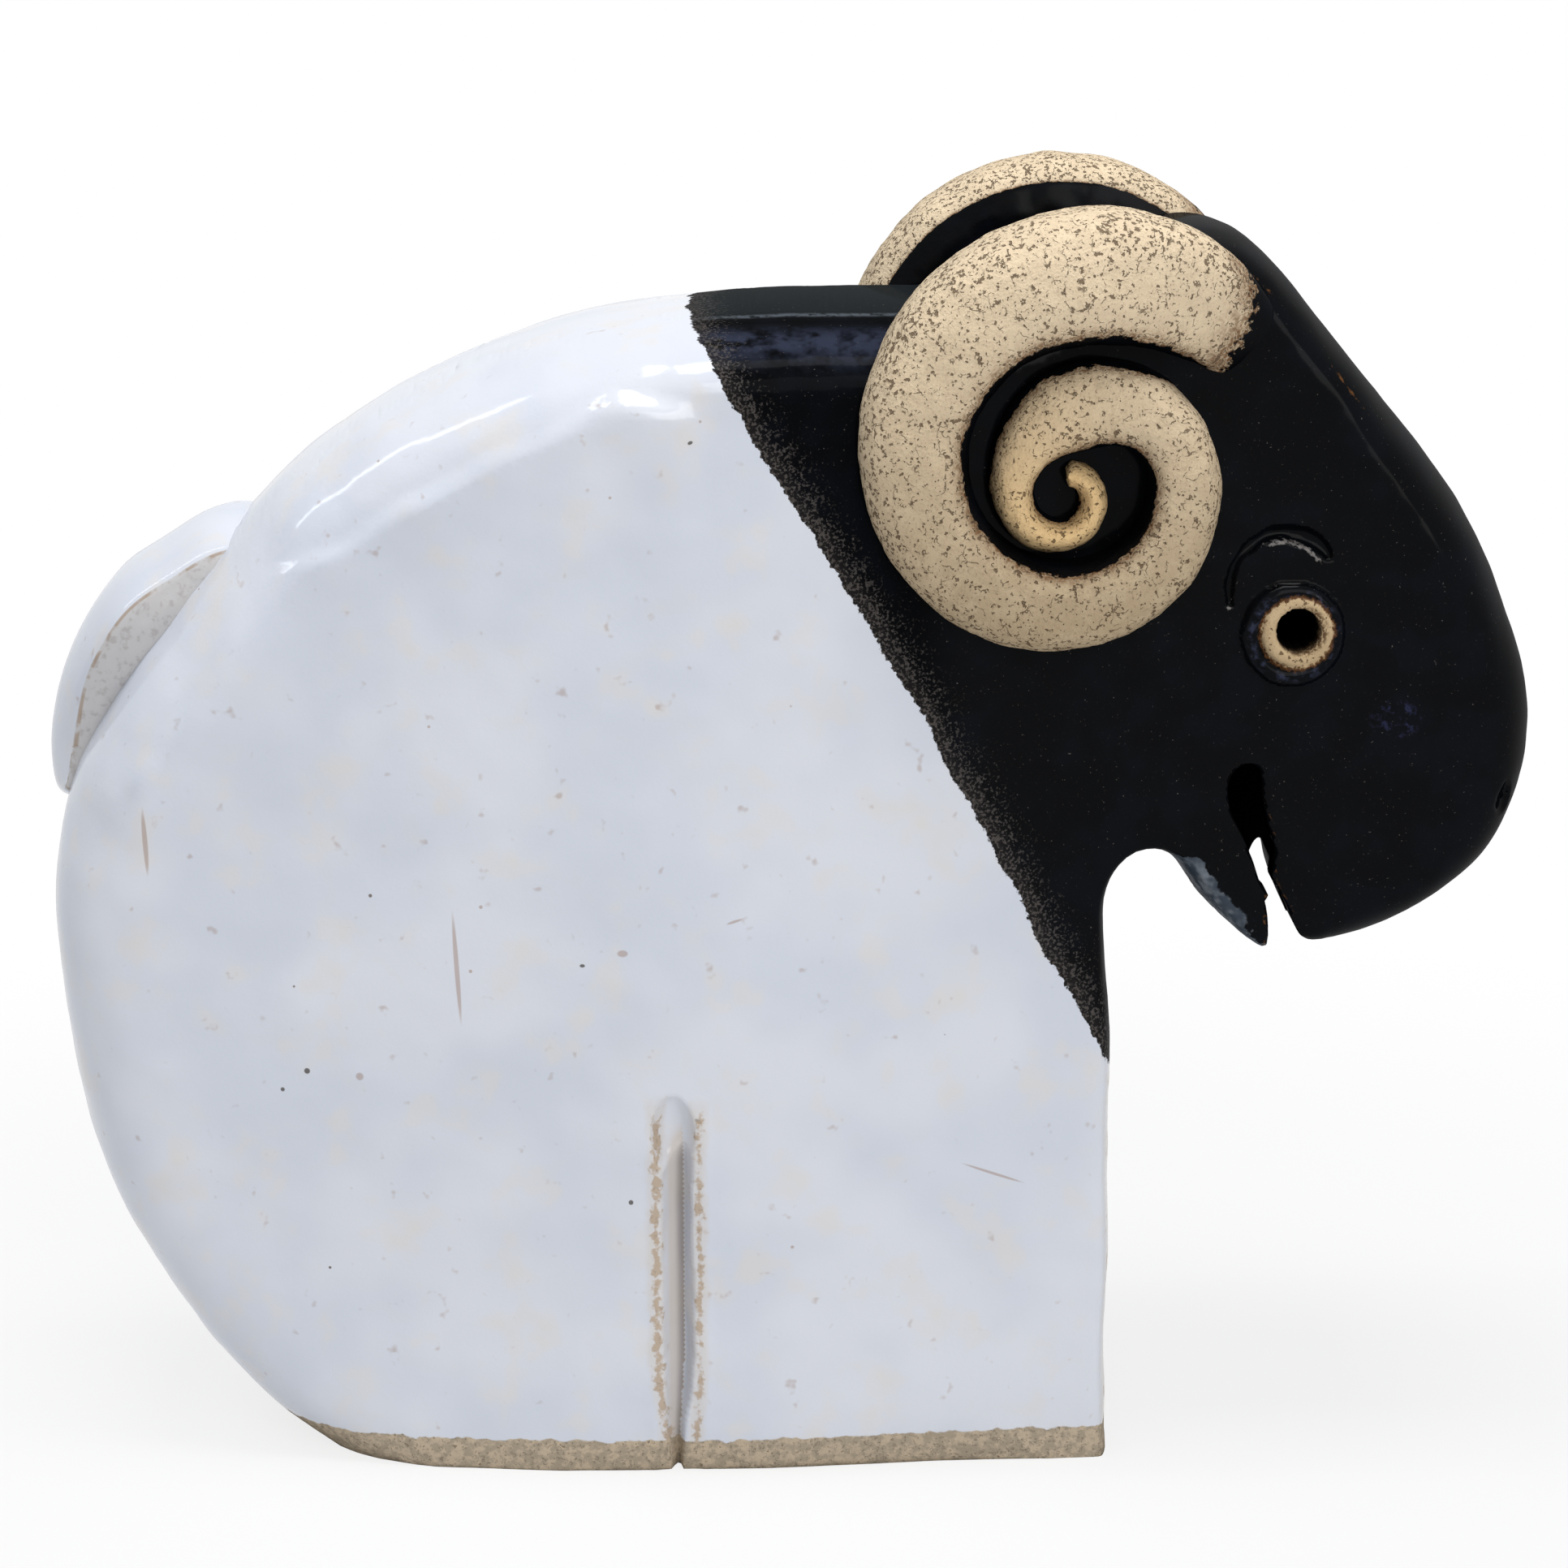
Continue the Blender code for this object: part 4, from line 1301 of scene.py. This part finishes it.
@dataclass(frozen=True)
class Mark:
    """Small mark on the near side, by its middle, half sizes and turn."""

    x: float
    z: float
    half_x: float
    half_z: float
    turn: float = 0.0

    def mask(self, desk: ShaderDesk) -> Wire:
        """Area of the mark.

        Args:
            desk: Desk of the material.

        Returns:
            1 in the mark and 0 outside.
        """
        across, up = desk.x - self.x, desk.z - self.z
        if self.turn:
            cosine, sine = math.cos(self.turn), math.sin(self.turn)
            across, up = across * cosine + up * sine, up * cosine - across * sine
        across, up = across / self.half_x, up / self.half_z
        return (across * across + up * up).rise(1.5, 0.5)


@dataclass(frozen=True)
class WhiteGlaze:
    """Glossy cool white glaze with warm clouds, pinholes and iron specks."""

    colour: Colour = paint(212, 215, 223)
    cool: Colour = paint(203, 208, 219)
    warm: Colour = paint(216, 211, 205)
    speck: Colour = paint(74, 68, 64)
    rust: Colour = paint(150, 112, 84)
    roughness: float = 0.16
    gloss: float = 0.75

    def shade(self, desk: ShaderDesk) -> Wire:
        """Colour of the glaze.

        Args:
            desk: Desk of the material.

        Returns:
            The colour, with its clouds and specks.
        """
        base = desk.blend(self.cool, self.colour, desk.grain(24).rise(0.38, 0.62))
        base = desk.blend(base, self.warm, desk.grain(6.5).rise(0.5, 0.75) * 0.55)
        base = desk.blend(base, self.rust, desk.grain(2.4).rise(0.66, 0.8) * 0.4)
        spots, chance = desk.specks(6.5, 0.22)
        base = desk.blend(base, self.rust, spots * chance.rise(0.38, 0.42) * 0.55)
        return desk.blend(base, self.speck, spots * chance.rise(0.68, 0.72) * 0.85)


@dataclass(frozen=True)
class BlackGlaze:
    """Satin blue-black glaze, thin and speckled where it stops."""

    colour: Colour = paint(7, 8, 10)
    sheen: Colour = paint(10, 12, 17)
    speck: Colour = paint(98, 93, 90)
    edge: Colour = paint(40, 37, 36)
    roughness: float = 0.36
    gloss: float = 0.09

    def shade(self, desk: ShaderDesk) -> Wire:
        """Colour of the glaze."""
        return desk.blend(self.colour, self.sheen, desk.grain(9).rise(0.4, 0.7))

    def thin(self, desk: ShaderDesk, shade: Wire, edge: Wire) -> Wire:
        """Speckle the glaze where it thins out towards its edge.

        Args:
            desk: Desk of the material.
            shade: Colour of the glaze.
            edge: Distance inside its edge.

        Returns:
            The speckled colour.
        """
        near = edge.rise(7.5, 0.2)
        shade = desk.blend(shade, self.speck, desk.grain(0.34).rise(0.71, 0.75) * 0.6)
        shade = desk.blend(shade, self.edge, edge.rise(3.0, 0.2) * 0.6)
        fine = desk.grain(0.34) + near * 0.13
        return desk.blend(shade, self.speck, fine.rise(0.6, 0.72) * (near * 0.5 + 0.03))


@dataclass(frozen=True)
class RawClay:
    """Bare grogged clay: sandy, pitted, cracked and scorched at its edges."""

    sand: Colour = paint(182, 161, 131)
    pale: Colour = paint(202, 182, 151)
    # The clay's painted shade low down and its painted light at the top of the horns.
    low: Colour = paint(162, 143, 116)
    high: Colour = paint(240, 220, 190)
    gold: Colour = paint(236, 200, 144)
    foot: Colour = paint(163, 150, 132)
    pit: Colour = paint(84, 62, 44)
    scorch: Colour = paint(104, 70, 42)
    roughness: float = 0.92

    def pits(self, desk: ShaderDesk, edge: object) -> Wire:
        """Pits and cracks, which crowd towards the edge of a coil.

        Args:
            desk: Desk of the material.
            edge: Nearness to the edge of the coil.

        Returns:
            1 in them and 0 outside.
        """
        crowd = desk.grain(6) * 0.2 + edge * 0.06 - 0.1
        holes = (desk.grain(0.5) - crowd).rise(0.38, 0.31)
        splits = desk.cracks(1.7, 0.04) * desk.grain(1.6).rise(0.53, 0.63)
        return holes.most(splits * 0.85)

    def shade(self, desk: ShaderDesk, pits: Wire, curl: object) -> Wire:
        """Colour of the bare clay, with painted light that makes it paler towards the top of the horns.

        Args:
            desk: Desk of the material.
            pits: 1 in the pits and cracks.
            curl: Share of the golden clay that the horns' curled tips show.

        Returns:
            The colour.
        """
        # Painted light: paler at the top of the horns and darker low down.
        painted_top_light = desk.blend(self.low, self.high, desk.z.rise(96, 152))
        base = desk.blend(self.sand, self.pale, desk.grain(2.2).rise(0.42, 0.64))
        base = desk.blend(base, painted_top_light, 0.62)
        base = desk.blend(base, self.gold, curl)
        grit = desk.grain(0.35).rise(0.56, 0.7)
        base = desk.blend(base, self.scorch, grit * 0.25)
        return desk.blend(base, self.pit, pits * 0.78)


WHITE = WhiteGlaze()
BLACK = BlackGlaze()
CLAY = RawClay()

MARKS_DARK = (
    Mark(-23.3, 63.6, 0.3, 0.2), Mark(-56.1, 49.8, 0.35, 0.35), Mark(-59.1, 47.4, 0.25, 0.25),
    Mark(-9.9, 44.8, 0.45, 0.22, -0.6), Mark(-17.9, 34.6, 0.28, 0.3), Mark(-10.5, 124.4, 0.3, 0.2, 0.4),
)
MARKS_BROWN = (
    Mark(-18.6, 65.1, 0.6, 0.4), Mark(-49.8, 49.4, 0.45, 0.45), Mark(-38.0, 63.0, 0.28, 6.0, 0.06),
    Mark(-74.6, 77.0, 0.3, 3.6, 0.04), Mark(-5.6, 68.8, 0.9, 0.16, 0.3), Mark(25.0, 36.9, 3.6, 0.16, -0.36),
)


@dataclass(frozen=True)
class Tints:
    """Colours of the small things that the body shows: worn edges, dents and thin glaze, and painted
    highlights, reflections and shade.
    """

    # Painted shade on the tail's cut cheeks, with a grainy stain.
    cheek: Colour = paint(188, 184, 181)
    cheek_stain: Colour = paint(166, 158, 152)
    brim: Colour = paint(150, 122, 92)
    # Painted shade on the slit's left slope, darker at its crease.
    slit: Colour = paint(206, 196, 187)
    slit_crease_painted_shade: Colour = paint(150, 138, 128)
    # Painted reflection on the neck's flat top, and painted highlights on the swelling below it and along its
    # ridge.
    neck_top_painted_reflection: Colour = paint(30, 34, 36)
    neck_bulge_painted_highlight: Colour = paint(50, 55, 72)
    neck_ridge_painted_highlight: Colour = paint(88, 94, 102)
    # Painted reflection of the floor on the jaw's chamfer, with painted streak highlights.
    jaw_painted_reflection: Colour = paint(62, 70, 80)
    jaw_painted_streak: Colour = paint(120, 126, 134)
    foot_pale: Colour = paint(188, 172, 150)
    foot_dark: Colour = paint(112, 98, 82)
    rim_soft: Colour = paint(206, 196, 184)
    rim: Colour = paint(176, 152, 124)
    # Painted bluish highlight on the eye's lip.
    eye_lip_painted_highlight: Colour = paint(64, 69, 92)
    # Painted bluish reflection on the head between the eye and the nostril.
    head_painted_reflection: Colour = paint(52, 55, 88)
    burnt: Colour = paint(70, 44, 26)
    # Painted highlight on the brow's lower lip.
    brow_painted_highlight: Colour = paint(128, 124, 122)
    # Painted shade in the pupil and inside the hollow head.
    hole: Colour = paint(14, 12, 11)


TINTS = Tints()


class BodyFinish:
    """Finish of the body, head and tail: white glaze, black glaze and bare clay in their places."""

    EDGE_X = -0.4
    EDGE_Z = 119.1
    EDGE_SLOPE = 0.567
    EDGE_BOW = 1.2
    FOOT_HEIGHT = 4.0
    RIDGE_Y = 15.4
    GROOVE_Y = 17.2
    PUPIL_RADIUS = 2.45
    RING_RADIUS = 4.15
    # Place of the painted reflection on the head.
    HEAD_REFLECTION_SPOT = Mark(71.6, 91.2, 2.8, 2.2)

    def __init__(self) -> None:
        """Start the material and the measures that several layers share."""
        self.desk = desk = ShaderDesk("ram_glazes")
        self.near_side = desk.y.rise(0.5, -0.5)
        self.from_middle = desk.y.size()
        self.on_neck = desk.x.rise(22, 14)
        self.cheek = desk.attribute("cheek")
        self.across, self.up = desk.x - Eye.x, desk.z - Eye.z
        self.radius = self.reach()

    def reach(self, shift: tuple[float, float] = (0.0, 0.0)) -> Wire:
        """Distance from the eye's middle, or from a middle shifted by this much."""
        across, up = self.across - shift[0], self.up - shift[1]
        return self.desk.node("ShaderNodeMath", {"operation": "SQRT"}, {0: across * across + up * up})

    def ragged(self, name: str, grain: float, reach: float, low: float, high: float) -> Wire:
        """Area with a ragged edge.

        Args:
            name: Stored number of millimetres inside the area.
            grain: Size of the ragged lumps.
            reach: How far they carry the edge.
            low: Number at which the area starts.
            high: Number from which it is full.

        Returns:
            1 in the area and 0 outside.
        """
        desk = self.desk
        return (desk.attribute(name) + (desk.grain(grain) - 0.5) * reach).rise(low, high)

    def glaze_edge(self) -> Wire:
        """Distance past the slanting, slightly bowed line at which the white glaze meets the black one.

        Returns:
            The distance.
        """
        desk = self.desk
        ragged = (desk.grain(0.8) - 0.5) * 1.3 + (desk.grain(9) - 0.5) * 2.4
        bow = (desk.z - 94) / 30
        slant = desk.x - self.EDGE_X + (desk.z - self.EDGE_Z) * self.EDGE_SLOPE
        return slant - (1 - bow * bow).most(0) * self.EDGE_BOW + ragged

    def white(self) -> Wire:
        """Colour of the white glaze, with its marks, painted shade on the tail's flat cheeks and painted
        shade on the slopes of the slit.

        Returns:
            The colour.
        """
        desk = self.desk
        shade = WHITE.shade(desk)
        for marks, colour, share in ((MARKS_DARK, WHITE.speck, 0.9), (MARKS_BROWN, WHITE.rust, 0.5)):
            for mark in marks:
                shade = desk.blend(shade, colour, mark.mask(desk) * self.near_side * share)
        # Painted shade greys the tail's cut cheeks, mottled by a grainy stain.
        cheek_shade_and_stain = desk.blend(TINTS.cheek, TINTS.cheek_stain, desk.grain(1.1).rise(0.5, 0.7))
        shade = desk.blend(shade, cheek_shade_and_stain, self.cheek.rise(0.0, 0.4) * 0.75)
        brim = (0.4 - (self.cheek - 0.45).size()).rise(0.0, 0.25) * desk.grain(2.5).rise(0.4, 0.55)
        shade = desk.blend(shade, TINTS.brim, brim * 0.6)
        # Painted shade on the slit's left slope, warm grey and darkest at the crease.
        cut = desk.attribute("cut")
        slope = desk.blend(TINTS.slit, TINTS.slit_crease_painted_shade, cut.rise(0.45, 1.0))
        return desk.blend(shade, slope, cut.rise(0.05, 0.4) * 0.8)

    def black(self, edge: Wire) -> Wire:
        """Colour of the black glaze: a greenish painted reflection on the neck's flat top, bluish painted
        highlights below it, speckled at its edge.

        Args:
            edge: Distance past the line at which it starts.

        Returns:
            The colour.
        """
        desk, away = self.desk, self.from_middle
        on_top = desk.z.rise(134, 136)
        shade = BLACK.shade(desk)
        # Painted light on the neck: a reflection on its flat top, and highlights on the swelling below it and
        # along the ridge.
        shade = desk.blend(shade, TINTS.neck_top_painted_reflection, away.rise(17.0, 15.5) * on_top * self.on_neck)
        bulge_highlight = (away - 22.6).size().rise(4.6, 0.5) * desk.z.rise(127, 135) * desk.grain(3.0).rise(0.3, 0.62)
        shade = desk.blend(shade, TINTS.neck_bulge_painted_highlight, bulge_highlight * self.on_neck * 0.8)
        line = (away - 15.7).size().rise(0.8, 0.1) * on_top * desk.grain(1.6).rise(0.34, 0.6)
        shade = desk.blend(shade, TINTS.neck_ridge_painted_highlight, line * self.on_neck * 0.7)
        return BLACK.thin(desk, shade, edge)

    def foot(self) -> Wire:
        """Colour of the bare foot.

        Returns:
            The colour.
        """
        desk = self.desk
        clay = desk.blend(CLAY.foot, TINTS.foot_pale, desk.grain(0.9).rise(0.4, 0.62))
        return desk.blend(clay, TINTS.foot_dark, desk.grain(0.6).rise(0.62, 0.72) * 0.8)

    def neck_ridge(self, black: Wire) -> Wire:
        """Height of the ridge and the groove that run along the neck's top edges.

        Args:
            black: 1 on the black glaze.

        Returns:
            The height.
        """
        ridge = (self.from_middle - self.RIDGE_Y).size().rise(1.4, 0.2)
        groove = (self.from_middle - self.GROOVE_Y).size().rise(0.9, 0.1) * 1.4
        return (ridge - groove) * self.on_neck * black * 2.2

    def material(self) -> bpy.types.Material:
        """Make the material: the glazes first, then the foot, the worn edges, the eye and the brow over them,
        with painted light among them: reflections on the jaw's chamfer and the head, highlights on the eye's
        lip and the brow's lip, and shade in the pupil and the hollow.

        Returns:
            The material.
        """
        desk = self.desk
        edge = self.glaze_edge()
        black = edge.rise(-0.1, 0.1)
        shade = desk.blend(self.white(), self.black(edge), black)
        # Painted reflection and streak highlights on the jaw's chamfer.
        jaw_painted_reflection = desk.blend(TINTS.jaw_painted_reflection, TINTS.jaw_painted_streak, desk.grain(2.4).rise(0.42, 0.68))
        shade = desk.blend(shade, jaw_painted_reflection, self.ragged("jaw_reflection_zone", 1.4, 1.6, -0.05, 0.25) * black * 0.85)

        floor = (self.FOOT_HEIGHT - desk.z + (desk.grain(3.2) - 0.5) * 1.5).rise(-0.12, 0.12)
        rims = self.ragged("bare", 1.3, 2.6, 0.25, 0.75)
        scorched = self.ragged("scorched", 0.9, 1.2, 0.0, 0.25)
        shade = desk.blend(shade, TINTS.rim_soft, self.ragged("bare", 2.5, 1.2, -0.7, 0.4) * 0.45)
        shade = desk.blend(shade, TINTS.rim, rims * 0.75)
        shade = desk.blend(shade, self.foot(), floor)
        shade = desk.blend(shade, CLAY.scorch, scorched * 0.8)

        # Painted bluish highlight round the eye's lip.
        lip = (0.7 - (self.reach(Eye.lip_shift) - Eye.lip_radius).size()).rise(-0.2, 0.8)
        shade = desk.blend(shade, TINTS.eye_lip_painted_highlight, lip * desk.grain(1.3).rise(0.46, 0.7) * self.near_side * 0.5)
        # Painted bluish reflection on the head.
        head_painted_reflection = self.HEAD_REFLECTION_SPOT.mask(desk) * desk.grain(1.1).rise(0.44, 0.72)
        shade = desk.blend(shade, TINTS.head_painted_reflection, head_painted_reflection * self.near_side * 0.7)
        ring = (self.radius - self.PUPIL_RADIUS).least(self.RING_RADIUS - self.reach(Eye.ring_shift))
        ring = ring + (desk.grain(0.8) - 0.5) * 1.1
        sand_ring = ring.rise(-0.12, 0.18)
        pits = desk.grain(0.6).rise(0.4, 0.34)
        shade = desk.blend(shade, CLAY.scorch, (ring.rise(-0.5, 0.0) - ring.rise(0.0, 0.4)).most(0) * 0.8)
        shade = desk.blend(shade, CLAY.shade(desk, pits, 0.2), sand_ring)
        burnt = (self.across * 0.14 + 3.2 - self.radius).rise(0.0, 0.6) * desk.grain(0.5).rise(0.4, 0.58)
        shade = desk.blend(shade, TINTS.burnt, burnt * 0.85)
        # Painted highlight on the brow's lower lip.
        shade = desk.blend(shade, TINTS.brow_painted_highlight, self.ragged("lip", 0.6, 0.9, 0.0, 0.2) * 0.8)
        # Painted shade: the pupil and the inner faces of the hollow head are painted near black.
        hole = (2.75 - self.radius).rise(0.0, 0.3).most(desk.attribute("inner"))
        shade = desk.blend(shade, TINTS.hole, hole)

        dry = floor.most(sand_ring).most(rims * 0.55).most(scorched * 0.8)
        glossy = 1 - dry.most(hole)
        glaze_roughness = black * (BLACK.roughness - WHITE.roughness) + WHITE.roughness
        glaze_roughness = glaze_roughness + self.cheek.rise(0.0, 0.4) * 0.2
        gloss = black * (BLACK.gloss - WHITE.gloss) + WHITE.gloss
        relief = desk.grain(0.75) * 0.15 + desk.grain(0.45) * dry + desk.grain(1.4) * 0.12
        relief = relief + (desk.grain(0.3) - 0.5) * black * 0.16 - pits * dry + self.neck_ridge(black)
        return desk.finish({
            "Base Color": shade,
            "Roughness": glossy * (glaze_roughness - CLAY.roughness) + CLAY.roughness,
            "Specular IOR Level": 0.0,
            "Coat Weight": glossy * gloss * (1 - self.on_neck * black * 0.7),
            "Coat Roughness": 0.12,
        }, [(relief, 0.12)])


class HornFinish:
    """Finish of a horn: bare sand on its face, black glaze in its groove and on its back."""

    BACK_ROUGHNESS = 0.4

    def material(self) -> bpy.types.Material:
        """Make the material.

        Returns:
            The material.
        """
        desk = ShaderDesk("ram_horn_clay")
        inside = desk.attribute("sand") + (desk.grain(1.5) - 0.5) * 2.2
        sand = inside.rise(-0.12, 0.12)
        fringe = inside.rise(2.1, 0.1)
        pits = CLAY.pits(desk, desk.attribute("edge"))
        shade = CLAY.shade(desk, pits, desk.attribute("curl") * 0.8)
        scorch = desk.grain(0.8).rise(0.4, 0.6)
        shade = desk.blend(shade, CLAY.scorch, fringe * fringe * (scorch * 0.6 + 0.3))
        shade = desk.blend(BLACK.shade(desk), shade, sand)
        relief = desk.grain(1.1) * 0.7 + desk.grain(0.4) * sand * 0.4 - pits * sand
        return desk.finish({
            "Base Color": shade,
            "Roughness": sand * (CLAY.roughness - self.BACK_ROUGHNESS) + self.BACK_ROUGHNESS,
            "Specular IOR Level": 0.0,
            "Coat Weight": (1 - sand) * BLACK.gloss,
            "Coat Roughness": 0.2,
        }, [(relief, 0.34)])


@dataclass(frozen=True)
class Studio:
    """Plain pale floor, soft lights and the camera at the photograph's angle."""

    aim: tuple[float, float, float] = (0.154, -24.0, 83.82)
    pitch: float = math.radians(12.5)
    distance: float = 455.0
    lens: float = 4800 / 1932 * 36
    floor_size: float = 6000.0

    def camera(self) -> None:
        """Place the camera and make it the scene's."""
        data = bpy.data.cameras.new("camera")
        data.lens = self.lens
        data.sensor_width = 36
        data.clip_start = 0.01
        data.clip_end = 50
        item = bpy.data.objects.new("camera", data)
        bpy.context.scene.collection.objects.link(item)
        back = Vector((0, -math.cos(self.pitch), math.sin(self.pitch))) * self.distance
        item.location = (Vector(self.aim) + back) * MM
        item.rotation_euler = (math.pi / 2 - self.pitch, 0, 0)
        bpy.context.scene.camera = item

    def lamp(self, name: str, place: tuple, aim: tuple, size: tuple, power: float, tint: tuple) -> None:
        """Hang one rectangular soft light.

        Args:
            name: Its name.
            place: Where it hangs, in metres.
            aim: What it points at, in metres.
            size: Its width and height, in metres.
            power: Its power in watts.
            tint: Its colour.
        """
        data = bpy.data.lights.new(name, "AREA")
        data.shape = "RECTANGLE"
        data.size, data.size_y = size
        data.energy = power
        data.color = tint
        item = bpy.data.objects.new(name, data)
        bpy.context.scene.collection.objects.link(item)
        item.location = place
        item.rotation_euler = (Vector(aim) - Vector(place)).to_track_quat("-Z", "Y").to_euler()

    def floor(self) -> None:
        """Lay the floor."""
        bpy.ops.object.select_all(action="DESELECT")
        bpy.ops.mesh.primitive_plane_add(size=self.floor_size * MM)
        item = bpy.context.object
        item.name = "floor"
        desk = ShaderDesk("floor_white")
        material = desk.finish({"Base Color": (0.72, 0.72, 0.72, 1), "Roughness": 0.9}, [])
        tree = desk.tree
        output = next(node for node in tree.nodes if node.bl_idname == "ShaderNodeOutputMaterial")
        lit = output.inputs["Surface"].links[0].from_socket
        rays = tree.nodes.new("ShaderNodeLightPath")
        seen = Wire(desk, rays.outputs["Is Camera Ray"]) + Wire(desk, rays.outputs["Is Glossy Ray"])
        seen = (seen + Wire(desk, rays.outputs["Is Transmission Ray"])).least(1.0)
        away = desk.node("ShaderNodeVectorMath", {"operation": "LENGTH"}, {0: desk.place}, "Value")
        bright = seen * (away.rise(90, 260) * 0.2 + 0.8)
        white = desk.node("ShaderNodeEmission", {}, {"Strength": 1.0})
        mix = desk.node("ShaderNodeMixShader", {}, {0: bright, 1: Wire(desk, lit), 2: white})
        tree.links.new(mix.socket, output.inputs["Surface"])
        item.data.materials.append(material)

    def world(self) -> None:
        """White to the camera, and a dim cool glow for the light."""
        world = bpy.data.worlds.new("studio")
        world.use_nodes = True
        bpy.context.scene.world = world
        tree = world.node_tree
        tree.nodes.clear()
        rays = tree.nodes.new("ShaderNodeLightPath")
        white = tree.nodes.new("ShaderNodeBackground")
        glow = tree.nodes.new("ShaderNodeBackground")
        glow.inputs["Color"].default_value = (0.93, 0.96, 1.0, 1)
        glow.inputs["Strength"].default_value = 0.34
        mix = tree.nodes.new("ShaderNodeMixShader")
        output = tree.nodes.new("ShaderNodeOutputWorld")
        seen = rays.outputs["Is Camera Ray"]
        for kind in ("Is Glossy Ray", "Is Transmission Ray"):
            total = tree.nodes.new("ShaderNodeMath")
            total.use_clamp = True
            tree.links.new(seen, total.inputs[0])
            tree.links.new(rays.outputs[kind], total.inputs[1])
            seen = total.outputs[0]
        tree.links.new(seen, mix.inputs["Fac"])
        tree.links.new(glow.outputs["Background"], mix.inputs[1])
        tree.links.new(white.outputs["Background"], mix.inputs[2])
        tree.links.new(mix.outputs["Shader"], output.inputs["Surface"])
        white.inputs["Color"].default_value = (1, 1, 1, 1)

    def build(self) -> None:
        """Set up the studio."""
        self.camera()
        self.floor()
        self.world()
        self.lamp("overhead", (0.0, -0.1, 1.1), (0, 0, 0.08), (0.6, 0.34), 7.0, (1, 1, 1))
        self.lamp("side", (-0.8, -0.05, 0.95), (-0.02, 0, 0.1), (0.08, 0.8), 1.9, (0.94, 0.97, 1))
        self.lamp("front", (0.55, -1.3, 0.75), (0, 0, 0.08), (1.0, 1.0), 11.0, (1, 0.99, 0.97))
        bpy.context.scene.view_settings.view_transform = "Standard"


def main() -> None:
    """Build every piece and the studio."""
    logging.basicConfig(level=logging.INFO, format="%(message)s")
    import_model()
    glazes = BodyFinish().material()
    clay = HornFinish().material()
    Workbench.settle(RamBody().build(), glazes, "white_glaze")
    Workbench.settle(Tail().build(), glazes, "white_glaze")
    for side in Side:
        Workbench.settle(Horn(side).build(), clay, "bare_clay")
    Studio().build()


if __name__ == "__main__":
    main()
